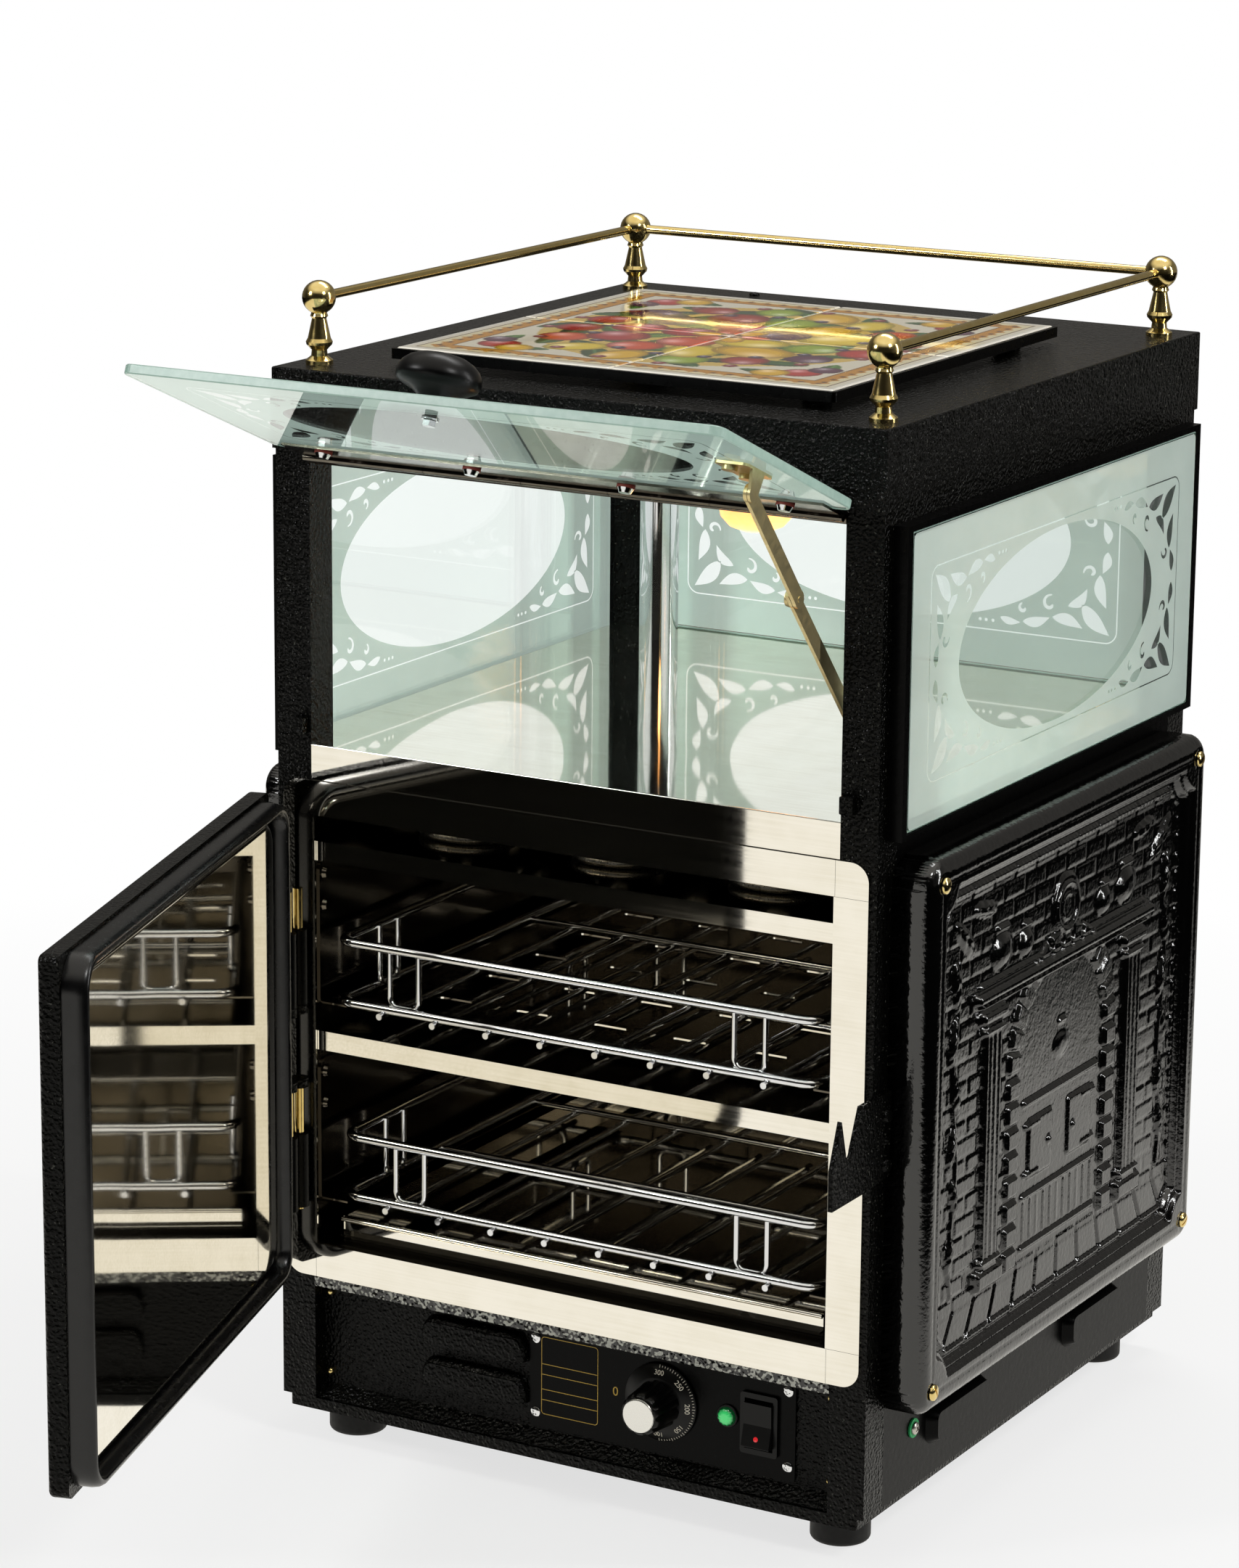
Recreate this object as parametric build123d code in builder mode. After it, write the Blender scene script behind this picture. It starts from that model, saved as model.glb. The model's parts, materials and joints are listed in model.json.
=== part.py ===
from build123d import *
import math
import os

os.makedirs("parts", exist_ok=True)

# Countertop potato oven with a heated display on top. Millimetres, Z up, floor at z = 0.
# X runs to the right of the front, the front faces -Y. The door stands open and the flap is raised.

# ---- overall cabinet ----
cab_w = 424.4            # across the corner posts
cab_d = 446.3            # front of the front posts to back of the rear posts
foot_h = 22.4
foot_r = 19.0
base_h = 7.6             # turned-up base tray under the posts
post = 25.0
post_wall = 2.0
post_h = 615.5           # display opening ends at the top of the posts
sheet = 1.5              # painted steel sheet
cap_lap = 1.5            # roof cap stands this far outside the posts
cap_h = 51.05
ring_show = 7.2          # part of the top frame seen under the roof cap
ring_h = 19.5
joint_gap = 0.3          # running gap between pieces that move past one another
seat = 0.2               # assembly gap between butted strips

# ---- door and its hinge ----
hinge_in = 10.7          # hinge pin inboard of the posts' outer side
hinge_x = hinge_in - cab_w / 2
hinge_out = 7.85         # hinge pin in front of the posts
door_short = 33.4        # the door is this much narrower than the cabinet
door_w = cab_w - door_short
door_h = 322.0
door_t = 13.0
door_edge = 5.5          # pin centre to the hinge edge of the closed door
door_set = 9.5           # pin centre to the inner face of the closed door
door_open = 73.2         # degrees, as it stands
door_round = 3.0         # rounding of the shell's outer edges
knuckle_r = 6.0
pin_r = 2.5
pin_play = 0.05
sleeve_r = 3.2
arm_h = 49.0
arm_up_z = 294.0         # underside of the upper arm
arm_low_z = 158.0
sleeve_up = 27.0
sleeve_low = 31.0

# ---- door latch ----
lever_z = 276.0
lever_len = 145.0
lever_past = 6.3         # its tip past the posts with the door shut
lever_u = cab_w / 2 - hinge_x + lever_past - lever_len  # pivot from the hinge pin, along the door
bar_r = 3.8
lever_w = 13.0
lever_lean = 8.0         # degrees past upright
lever_t = 5.0

# where the front of the door's swing and the back of the inlet put the cabinet's middle
door_a = math.radians(door_open)
door_out = door_set + door_t
reach_front = (
    cab_d / 2 + hinge_out + (door_edge + door_w) * math.sin(door_a) + door_out * math.cos(door_a)
    - door_round * (math.sin(door_a) + math.cos(door_a) - 1)
)
gland_l = 16.0
reach_back = cab_d / 2 + gland_l
cab_y = (reach_front - reach_back) / 2

z_base = foot_h
z_cab = foot_h + base_h              # underside of the posts and walls
z_top = z_cab + post_h               # top of the display opening
z_roof = z_top + ring_show + cap_h   # roof surface
y_front = cab_y - cab_d / 2
y_back = cab_y + cab_d / 2
in_x = cab_w / 2 - post              # between the posts
in_y = cab_d / 2 - post

# ---- display deck ----
deck_z = 465.0
deck_t = 1.2
lip_up = 1.5
fascia_low = 443.5

# ---- oven opening, face frame and liner ----
face_t = 1.5
face_in = 4.7            # face frame inboard of the posts' outer sides
face_w = cab_w - 2 * face_in
face_z0 = 114.5
face_z1 = fascia_low
strip_w = 22.3
corner_round = 12.0
liner_t = 1.2
liner_back = 42.3        # cabinet depth left behind the liner
liner_d = cab_d - liner_back
baffle_t = 1.2
lip_h = 12.5
baffle_up_z = 404.0
baffle_mid_z = 279.5
baffle_back = 24.0       # air gap behind the baffles
baffle_d = liner_d - baffle_back

# ---- baskets ----
rail_r = 3.0
wire_r = 2.1
basket_side = 12.8       # frame wires' centre line inboard of the liner
basket_back = 36.0
basket_len = liner_d - basket_back
basket_deep = 40.0
bend_r = 12.0
floor_n = 8
floor_side = 34.1        # outer floor wires inboard of the frame wires
floor_tail = 5.0
stay_w = 21.5
stay_side = 48.0         # hooks inboard of the frame wires
basket_up_z = 299.5      # lower frame wire
basket_low_z = 168.3
basket_up_in = 5.5       # front wire behind the posts' front
basket_low_in = 12.0
runner_t = 1.2
runner_leg = 17.0
runner_tall = 96.0

# ---- crumb tray ----
crumb_side = 10.3        # beside the tray, to the liner
tray_in = 15.0
tray_back = 46.0
tray_l = liner_d - tray_back
tray_h = 15.0
tray_t = 1.2

# ---- controls ----
recess = 12.0
band_h = 7.0
cover_low = 38.0
plate_x0, plate_x1 = -31.5, 159.0
plate_z0, plate_z1 = 40.0, 107.0
plate_t = 1.5
dial_x, dial_z = 64.7, 74.9
dial_r = 25.5
dial_t = 5.0
grip_len = 24.0
spindle_r = 3.0
lamp_x = 111.7
switch_x = 134.5
switch_w, switch_h = 26.0, 40.0
rocker_w, rocker_h = 20.0, 33.0

# ---- flap ----
flap_up = 22.6           # degrees above level, as it stands
flap_out = 4.85          # flap hinge pin in front of the posts
flap_drop = 4.5          # flap hinge pin above the top of the display opening
glass_t = 6.0
glass_side = 11.7        # glass inboard of the posts' outer sides
glass_w = cab_w - 2 * glass_side
glass_w0 = 14.0
glass_w1 = 190.0
leaf_t = 1.6
leaf_side = 13.0
leaf_w = glass_w - 2 * leaf_side
barrel_r = 2.4
leaf_pin = 1.1
screw_w = 22.0
screw_in = 40.5
screw_mid = 53.5
screw_xs = (screw_in - glass_w / 2, -screw_mid, screw_mid, glass_w / 2 - screw_in)

# ---- flap stay ----
link_t = 2.3
link_w = 10.0
eye_r = 5.4
rivet_r = 2.0
link_side = 6.4          # upper link inboard of the post
up_x0 = in_x - link_side
link_tail = 8.5          # lower link runs on past the knee
p1_w, p1_n = 108.6, 12.2  # upper pivot: along the flap and under its pin
knee_y, knee_z = 48.85, 36.5   # knee in front of the posts and under the display opening's top
p2_y, p2_z = 22.65, 118.5      # lower pivot behind the posts' front and under the opening's top

# ---- roof ----
rail_in_x = 17.2
rail_in_y = 27.65
ball_z = 41.0
ball_r = 10.6
rod_r = 3.0
neck_r = 5.0             # where the post's neck runs into the ball
neck_drop = math.sqrt(ball_r**2 - neck_r**2)
tile_w = 152.0
tile_t = 5.0
tile_gap = 1.0
tray_rim = 3.0
tray_up = 4.0
tray_tall = 6.5
tile_fwd = 24.4

# ---- side glass and cast panels ----
frame_out = 10.0
frame_in = 11.45         # side glass frame short of the posts, front and back
frame_l = cab_d - 2 * frame_in
frame_z0, frame_z1 = 456.0, 645.5
frame_bar = 6.2
pane_t = 6.0
panel_in = 19.15         # cast panel short of the posts, front and back
panel_l = cab_d - 2 * panel_in
panel_h = 351.0
panel_z0 = 92.0
panel_out = 28.3
panel_edge = 11.0
panel_wall = 4.0
panel_screw = 15.7       # screw centre from the panel's edges
field_in = 19.5
field_deep = 8.5
step_w = 5.0
notch_r = 20.0

front = Plane.XZ.offset(-y_front)          # looks along +Y, x to the right, y up


# ================= cabinet structure =================
with BuildPart() as base_tray:
    tray_x, tray_y = cab_w / 2 - 5.0, cab_d / 2
    with BuildSketch(Plane.XY.offset(z_base)):
        with Locations((0, cab_y)):
            Rectangle(2 * tray_x, 2 * tray_y)
    extrude(amount=base_h)
    fillet(base_tray.edges().filter_by(Axis.Z), 3)
    with BuildSketch(Plane.XY.offset(z_cab)):
        with Locations((0, cab_y)):
            Rectangle(2 * (tray_x - sheet), 2 * (tray_y - sheet))
    extrude(amount=-(base_h - sheet), mode=Mode.SUBTRACT)

foot_in_x, foot_in_y = 34.2, 36.65
foot_x, foot_y = cab_w / 2 - foot_in_x, cab_d / 2 - foot_in_y
with BuildPart() as feet:
    with BuildSketch(Plane.XY):
        with Locations(*[(sx * foot_x, cab_y + sy * foot_y) for sx in (-1, 1) for sy in (-1, 1)]):
            Circle(foot_r)
    extrude(amount=foot_h)
    fillet(feet.edges().group_by(Axis.Z)[0], 3.0)

post_at = [
    (sx * (cab_w - post) / 2, cab_y + sy * (cab_d - post) / 2) for sx in (-1, 1) for sy in (-1, 1)
]
with BuildPart() as corner_posts:
    with BuildSketch(Plane.XY.offset(z_cab)):
        with Locations(*post_at):
            Rectangle(post, post)
            Rectangle(post - 2 * post_wall, post - 2 * post_wall, mode=Mode.SUBTRACT)
    extrude(amount=post_h)

# lower side walls with a pair of pressed, downward-opening hoods each
hood_w, hood_h, hood_out, hood_z = 80.0, 26.0, 7.0, 50.0
wall_z1 = deck_z - deck_t
with BuildPart() as side_walls:
    for sx in (-1, 1):
        skin = Plane.YZ.offset(sx * cab_w / 2)
        with BuildSketch(skin):
            with Locations((cab_y, (z_cab + wall_z1) / 2)):
                Rectangle(2 * in_y, wall_z1 - z_cab)
        extrude(amount=-sx * sheet)
        for sy in (-1, 1):
            with BuildSketch(skin):
                with Locations((cab_y + sy * 100.0, hood_z + hood_h / 2)):
                    RectangleRounded(hood_w, hood_h, 9)
            extrude(amount=sx * hood_out, taper=28)
            with BuildSketch(skin.offset(-sx * sheet)):
                with Locations((cab_y + sy * 100.0, hood_z + hood_h / 2)):
                    RectangleRounded(hood_w - 3.4, hood_h - 3.4, 7.3)
            extrude(amount=sx * hood_out, taper=26, mode=Mode.SUBTRACT)
            with BuildSketch(skin.offset(sx * 1.2)):
                with Locations((cab_y + sy * 100.0, hood_z + 3.0)):
                    Rectangle(hood_w - 24, 6.4)
            extrude(amount=sx * 2.6, mode=Mode.SUBTRACT)

with BuildPart() as back_wall:
    rear = Plane.XZ.offset(-(y_back))
    with BuildSketch(rear):
        with Locations((0, (z_cab + wall_z1) / 2)):
            Rectangle(2 * in_x, wall_z1 - z_cab)
    extrude(amount=sheet)
    for hx, hz in ((-90, 50), (90, 50), (-90, 400), (90, 400)):
        with BuildSketch(rear):
            with Locations((hx, hz + hood_h / 2)):
                RectangleRounded(hood_w, hood_h, 9)
        extrude(amount=-hood_out, taper=28)
        with BuildSketch(rear.offset(sheet)):
            with Locations((hx, hz + hood_h / 2)):
                RectangleRounded(hood_w - 3.4, hood_h - 3.4, 7.3)
        extrude(amount=-hood_out, taper=26, mode=Mode.SUBTRACT)
        with BuildSketch(rear.offset(-1.2)):
            with Locations((hx, hz + 3.0)):
                Rectangle(hood_w - 24, 6.4)
        extrude(amount=-2.6, mode=Mode.SUBTRACT)

with BuildPart() as inlet_gland:
    gland_at = (150, y_back, 70)
    with BuildSketch(Plane(origin=gland_at, x_dir=(1, 0, 0), z_dir=(0, 1, 0))):
        RegularPolygon(13, 6)
    extrude(amount=6)
    with BuildSketch(Plane(origin=gland_at, x_dir=(1, 0, 0), z_dir=(0, 1, 0)).offset(6)):
        Circle(9.5)
    extrude(amount=gland_l - 6, taper=8)
    with BuildSketch(Plane(origin=gland_at, x_dir=(1, 0, 0), z_dir=(0, 1, 0)).offset(4)):
        Circle(4.4)
    extrude(amount=gland_l, mode=Mode.SUBTRACT)

# top frame: four rails round the display with the ceiling pressed in one piece
with BuildPart() as top_frame:
    with BuildSketch(Plane.XY.offset(z_top)):
        with Locations((0, cab_y)):
            Rectangle(cab_w, cab_d)
    extrude(amount=ring_h)
    with BuildSketch(Plane.XY.offset(z_top)):
        with Locations((0, cab_y)):
            Rectangle(2 * in_x, 2 * in_y)
    extrude(amount=ring_h - sheet, mode=Mode.SUBTRACT)

cap_w, cap_d = cab_w + 2 * cap_lap, cab_d + 2 * cap_lap
with BuildPart() as roof_cap:
    with BuildSketch(Plane.XY.offset(z_roof - cap_h)):
        with Locations((0, cab_y)):
            Rectangle(cap_w, cap_d)
    extrude(amount=cap_h)
    fillet(roof_cap.edges().group_by(Axis.Z)[-1], 1.2)
    with BuildSketch(Plane.XY.offset(z_roof - cap_h)):
        with Locations((0, cab_y)):
            Rectangle(cab_w, cab_d)
    extrude(amount=cap_h - sheet, mode=Mode.SUBTRACT)

# ================= gallery rail on the roof =================
rail_x, rail_y = cap_w / 2 - rail_in_x, cap_d / 2 - rail_in_y
rail_at = [(sx * rail_x, cab_y + sy * rail_y) for sx in (-1, 1) for sy in (-1, 1)]
with BuildPart() as gallery_posts:
    for px, py in rail_at:
        with BuildSketch(Plane(origin=(px, py, z_roof), x_dir=(1, 0, 0), z_dir=(0, -1, 0))):
            with BuildLine():
                stem = Polyline(
                    (0, 0), (8.6, 0), (8.6, 2.0), (5.2, 4.6), (4.8, 8.2), (8.0, 11.6), (8.4, 13.4),
                    (7.2, 15.6), (4.5, 28.0), (5.6, 29.4), (neck_r, 31.0), (neck_r, ball_z - neck_drop),
                )
                ThreePointArc(stem @ 1, (ball_r, ball_z), (0, ball_z + ball_r))
                Line((0, ball_z + ball_r), (0, 0))
            make_face()
        revolve(axis=Axis((px, py, z_roof), (0, 0, 1)))
    for px, py in rail_at:
        if py > cab_y:
            with BuildSketch(Plane(origin=(px, py, z_roof + ball_z), x_dir=(0, 1, 0),
                                   z_dir=(-math.copysign(1, px), 0, 0))):
                Circle(rod_r)
            extrude(amount=2 * ball_r, mode=Mode.SUBTRACT)
        with BuildSketch(Plane(origin=(px, py, z_roof + ball_z), x_dir=(1, 0, 0),
                               z_dir=(0, -math.copysign(1, py - cab_y), 0))):
            Circle(rod_r)
        extrude(amount=2 * ball_r, mode=Mode.SUBTRACT)

with BuildPart() as gallery_rods:
    for sx in (-1, 1):
        with BuildSketch(Plane(origin=(sx * rail_x, cab_y - rail_y + rod_r + 1, z_roof + ball_z),
                               x_dir=(1, 0, 0), z_dir=(0, 1, 0))):
            Circle(rod_r)
        extrude(amount=2 * (rail_y - rod_r - 1))
    with BuildSketch(Plane(origin=(-rail_x + rod_r + 1, cab_y + rail_y, z_roof + ball_z),
                           x_dir=(0, 1, 0), z_dir=(1, 0, 0))):
        Circle(rod_r)
    extrude(amount=2 * (rail_x - rod_r - 1))

# ================= tile tray =================
tiles_w = 2 * tile_w + tile_gap
tray_side = tiles_w + 2 * tray_rim
tray_z0 = z_roof + tray_up
with BuildPart() as tile_tray:
    with BuildSketch(Plane.XY.offset(tray_z0)):
        with Locations((0, cab_y - tile_fwd)):
            RectangleRounded(tray_side, tray_side, 3)
    extrude(amount=tray_tall)
    with BuildSketch(Plane.XY.offset(tray_z0 + tray_tall)):
        with Locations((0, cab_y - tile_fwd)):
            Rectangle(tiles_w + seat, tiles_w + seat)
    extrude(amount=-tile_t, mode=Mode.SUBTRACT)
    with BuildSketch(Plane.XY.offset(tray_z0)):
        with Locations((0, cab_y - tile_fwd)):
            with GridLocations(tray_side - 50, tray_side - 50, 2, 2):
                Circle(9)
    extrude(amount=-(tray_up - 0.05))

with BuildPart() as tiles:
    with BuildSketch(Plane.XY.offset(tray_z0 + tray_tall - tile_t)):
        with Locations((0, cab_y - tile_fwd)):
            with GridLocations(tile_w + tile_gap, tile_w + tile_gap, 2, 2):
                RectangleRounded(tile_w, tile_w, 1.5)
    extrude(amount=tile_t + 0.6)

# ================= glazing =================
with BuildPart() as side_frames:
    for sx in (-1, 1):
        skin = Plane.YZ.offset(sx * cab_w / 2)
        mid = (cab_y, (frame_z0 + frame_z1) / 2)
        with BuildSketch(skin):
            with Locations(mid):
                Rectangle(frame_l, frame_z1 - frame_z0)
                Rectangle(frame_l - 4 * frame_bar, frame_z1 - frame_z0 - 2.4 * frame_bar, mode=Mode.SUBTRACT)
        extrude(amount=sx * frame_out)
        with BuildSketch(skin.offset(sx * frame_out)):
            with Locations(mid):
                Rectangle(frame_l - 2 * frame_bar, frame_z1 - frame_z0 - 1.2 * frame_bar)
        extrude(amount=-sx * (pane_t + 0.2), mode=Mode.SUBTRACT)

with BuildPart() as side_panes:
    for sx in (-1, 1):
        with BuildSketch(Plane.YZ.offset(sx * (cab_w / 2 + frame_out - 0.2))):
            with Locations((cab_y, (frame_z0 + frame_z1) / 2)):
                Rectangle(frame_l - 2 * frame_bar, frame_z1 - frame_z0 - 1.2 * frame_bar)
        extrude(amount=-sx * pane_t)

with BuildPart() as rear_pane:
    with BuildSketch(Plane.XZ.offset(-(y_back - 6))):
        with Locations((0, (deck_z + z_top) / 2)):
            Rectangle(2 * in_x, z_top - deck_z)
    extrude(amount=pane_t)

# ================= display deck =================
with BuildPart() as deck:
    with BuildSketch(Plane.XY.offset(deck_z - deck_t)):
        with Locations((0, cab_y)):
            Rectangle(2 * in_x, cab_d)
            Rectangle(cab_w, 2 * in_y)
    extrude(amount=deck_t)
    with BuildSketch(front):
        with Locations((0, (deck_z + lip_up + fascia_low) / 2)):
            Rectangle(2 * in_x, deck_z + lip_up - fascia_low)
    extrude(amount=-deck_t)
    fillet(deck.edges().filter_by(Axis.X).filter_by_position(Axis.Z, deck_z + 1, deck_z + 2), 0.5)

flue_in_x, flue_in_y, flue_r = 22.2, 19.15, 13.7
flue_x, flue_y = flue_in_x - in_x, cab_y + in_y - flue_in_y
with BuildPart() as flue_tube:
    with BuildSketch(Plane.XY.offset(deck_z)):
        with Locations((flue_x, flue_y)):
            Circle(flue_r)
            Circle(flue_r - 1.2, mode=Mode.SUBTRACT)
    extrude(amount=z_top + ring_h - sheet - deck_z)

with BuildPart() as display_lamp:
    bulb_z = z_top + ring_h - sheet
    with BuildSketch(Plane(origin=(40, cab_y - 60, bulb_z), x_dir=(1, 0, 0), z_dir=(0, -1, 0))):
        with BuildLine():
            Polyline((0, 0), (19, 0), (19, -6), (15, -22), (14, -24))
            Spline((14, -24), (24, -38), (24, -52), (0, -64), tangents=((0.4, -1), (-1, 0)))
            Line((0, -64), (0, 0))
        make_face()
    revolve(axis=Axis((40, cab_y - 60, bulb_z), (0, 0, 1)))

# ================= oven face frame =================
open_x = face_w / 2 - strip_w - 0.9
open_z0, open_z1 = face_z0 + strip_w, face_z1 - strip_w
with BuildPart() as face_frame:
    for z0 in (face_z0, open_z1):
        with BuildSketch(front):
            with Locations((0, z0 + strip_w / 2)):
                Rectangle(2 * (face_w / 2 - strip_w - seat), strip_w)
        extrude(amount=face_t)
    for sx in (-1, 1):
        with BuildSketch(front):
            with Locations((sx * (open_x + face_w / 2) / 2, (open_z0 + open_z1) / 2)):
                Rectangle(face_w / 2 - open_x, open_z1 - open_z0 - 2 * seat)
        extrude(amount=face_t)
    for sx in (-1, 1):
        for zc, sz in ((face_z0 + strip_w / 2, -1), (face_z1 - strip_w / 2, 1)):
            with BuildSketch(front):
                with Locations((sx * (face_w - strip_w) / 2, zc)):
                    Rectangle(strip_w, strip_w)
            extrude(amount=face_t)
    outer = face_frame.edges().filter_by(Axis.Y)
    fillet(
        [
            e
            for e in outer
            if abs(e.center().X) > face_w / 2 - 0.1
            and (e.center().Z < face_z0 + 0.1 or e.center().Z > face_z1 - 0.1)
        ],
        corner_round,
    )

# ================= oven liner and baffles =================
liner_x = open_x + 0.5
basket_w = 2 * (liner_x - basket_side)      # centre line of the frame wires
floor_pitch = (basket_w - 2 * floor_side) / (floor_n - 1)
stay_x = basket_w / 2 - stay_side
tray_w = 2 * (liner_x - crumb_side)
liner_z0, liner_z1 = open_z0 + 0.4, open_z1 - 0.4
with BuildPart() as oven_liner:
    with BuildSketch(front):
        with Locations((0, (liner_z0 + liner_z1) / 2)):
            Rectangle(2 * (liner_x + liner_t), liner_z1 - liner_z0 + 2 * liner_t)
    extrude(amount=-(liner_d + liner_t))
    with BuildSketch(front):
        with Locations((0, (liner_z0 + liner_z1) / 2)):
            Rectangle(2 * liner_x, liner_z1 - liner_z0)
    extrude(amount=-liner_d, mode=Mode.SUBTRACT)

with BuildPart() as baffles:
    for top_z in (baffle_up_z, baffle_mid_z):
        with BuildSketch(front.offset(-0.3)):
            with Locations((0, top_z - baffle_t / 2)):
                Rectangle(2 * liner_x, baffle_t)
        extrude(amount=-baffle_d)
        with BuildSketch(front.offset(-0.3)):
            with Locations((0, top_z - lip_h / 2)):
                Rectangle(2 * liner_x, lip_h)
        extrude(amount=-baffle_t)
        with BuildSketch(Plane.XY.offset(top_z)):
            with Locations((0, cab_y)):
                with GridLocations(58, 60, 6, 5):
                    SlotOverall(26, 6)
        extrude(amount=-baffle_t, mode=Mode.SUBTRACT)

# runner angles screwed to the walls, one pair under each basket
with BuildPart() as basket_runners:
    for sx in (-1, 1):
        for wire_z in (basket_up_z, basket_low_z):
            run_z = wire_z - rail_r - joint_gap
            wall = Plane.YZ.offset(sx * liner_x)
            with BuildSketch(wall):
                with Locations((y_front + 3 + basket_len / 2, run_z - runner_t + runner_tall / 2)):
                    RectangleRounded(basket_len, runner_tall, 6)
            extrude(amount=-sx * runner_t)
            with BuildSketch(wall):
                with Locations((y_front + 9 + (basket_len - 12) / 2, run_z - runner_t / 2)):
                    Rectangle(basket_len - 12, runner_t)
            extrude(amount=-sx * runner_leg)
            for sy in (y_front + 9.5, y_front + basket_len - 12):
                for up in (64.5, 85.5):
                    with BuildSketch(wall.offset(-sx * runner_t)):
                        with Locations((sy, run_z + up)):
                            Circle(4.4)
                    extrude(amount=-sx * 2.6, taper=20)

# ================= wire baskets =================
wire_span = [(i - (floor_n - 1) / 2) * floor_pitch for i in range(floor_n)]
basket_parts = []
for wire_z, back in ((basket_up_z, basket_up_in), (basket_low_z, basket_low_in)):
    y0 = y_front + back
    y1 = y0 + basket_len - 18
    bw = basket_w / 2
    with BuildPart() as basket:
        for loop_z in (wire_z, wire_z + basket_deep):
            with BuildLine(Plane.XY.offset(loop_z)) as loop:
                FilletPolyline((bw, y0), (bw, y1), (-bw, y1), (-bw, y0), radius=bend_r, close=True)
            with BuildSketch(loop.wire() ^ 0):
                Circle(rail_r)
            sweep(path=loop.wire())
        floor_z = wire_z - rail_r - wire_r + 1.0
        for wx in wire_span:
            with BuildSketch(Plane(origin=(wx, y0 - floor_tail, floor_z), x_dir=(1, 0, 0),
                                   z_dir=(0, 1, 0))):
                Circle(wire_r)
            extrude(amount=y1 - y0 + 2 * floor_tail)
        for cy in (y0 + (y1 - y0) * 0.33, y0 + (y1 - y0) * 0.67):
            with BuildSketch(Plane(origin=(-bw, cy, wire_z - 0.9), x_dir=(0, 1, 0), z_dir=(1, 0, 0))):
                Circle(wire_r)
            extrude(amount=2 * bw)
        hooks = []
        for sx in (-1, 1):
            for hy, inset in ((y0, 1), (y1, -1)):
                hooks.append(((sx * stay_x - stay_w / 2, hy + inset * 3.3), (1, 0), stay_w))
            for hy in (y0 + 44, y1 - 66):
                hooks.append(((sx * (bw - 3.3), hy), (0, 1), stay_w))
        for (hx, hy), (dx, dy), hw in hooks:
            top, low = wire_z + basket_deep, wire_z + 1.4
            with BuildLine() as hook:
                FilletPolyline(
                    (hx, hy, top), (hx, hy, low), (hx + dx * hw, hy + dy * hw, low),
                    (hx + dx * hw, hy + dy * hw, top),
                    radius=6.5,
                )
            with BuildSketch(Plane(origin=(hx, hy, top), x_dir=(1, 0, 0), z_dir=(0, 0, -1))):
                Circle(wire_r - 0.2)
            sweep(path=hook.wire())
    basket_parts.append(basket)
basket_upper, basket_lower = basket_parts

# ================= crumb tray =================
tray_y0 = y_front + tray_in
with BuildPart() as crumb_tray:
    with BuildSketch(Plane.XY.offset(liner_z0 + joint_gap)):
        with Locations((0, tray_y0 + tray_l / 2)):
            Rectangle(tray_w, tray_l)
    extrude(amount=tray_h)
    with BuildSketch(Plane.XY.offset(liner_z0 + joint_gap + tray_h)):
        with Locations((0, tray_y0 + tray_l / 2)):
            Rectangle(tray_w - 2 * tray_t, tray_l - 2 * tray_t)
    extrude(amount=-(tray_h - tray_t), mode=Mode.SUBTRACT)
    # rolled lip and a finger ledge along the front
    with BuildSketch(Plane.YZ.offset(-tray_w / 2)):
        with Locations((tray_y0 - 1.4, liner_z0 + joint_gap + tray_h - 1.6)):
            Circle(1.6)
        with Locations((tray_y0 - 2.0, liner_z0 + joint_gap + 3.2)):
            Rectangle(4.0, 1.4)
    extrude(amount=tray_w)

# ================= heating elements =================
element_r = 3.2
element_side = 44.8      # outer runs inboard of the liner
element_pitch = 2 * (liner_x - element_side) / 5
with BuildPart() as heating_elements:
    for el_z in (baffle_up_z + element_r + joint_gap, liner_z0 - liner_t - element_r - joint_gap):
        ya, yb = y_front + 40, y_front + liner_d - 20
        xs = [(i - 2.5) * element_pitch for i in range(6)]
        pts = [(xs[0], y_front + liner_d)]
        for i, ex in enumerate(xs):
            pts += [(ex, ya), (xs[i + 1], ya)] if i % 2 == 0 else [(ex, yb), (xs[i + 1], yb)] if i < 5 else []
        pts.append((xs[-1], y_front + liner_d))
        with BuildLine(Plane.XY.offset(el_z)) as path:
            FilletPolyline(*pts, radius=24)
        with BuildSketch(Plane(origin=(xs[0], y_front + liner_d, el_z), x_dir=(1, 0, 0), z_dir=(0, -1, 0))):
            Circle(element_r)
        sweep(path=path.wire())

wool_z0, wool_z1, wool_t = face_z0 + 3.5, face_z1 - 1.5, 11.0
wool_mid, wool_h = (wool_z0 + wool_z1) / 2, wool_z1 - wool_z0
with BuildPart() as insulation:
    with BuildSketch(Plane.XZ.offset(-(cab_y - in_y + 2))):
        with Locations((0, wool_mid)):
            Rectangle(cab_w - 2 * sheet - 1, wool_h)
            Rectangle(2 * (liner_x + liner_t) + 0.6, wool_h - 2 * wool_t, mode=Mode.SUBTRACT)
    extrude(amount=-(2 * in_y - 4))
    with BuildSketch(Plane.XZ.offset(-(y_front + liner_d + liner_t + 0.3))):
        with Locations((0, wool_mid)):
            Rectangle(cab_w - 2 * sheet - 1, wool_h)
    extrude(amount=-12)

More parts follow.
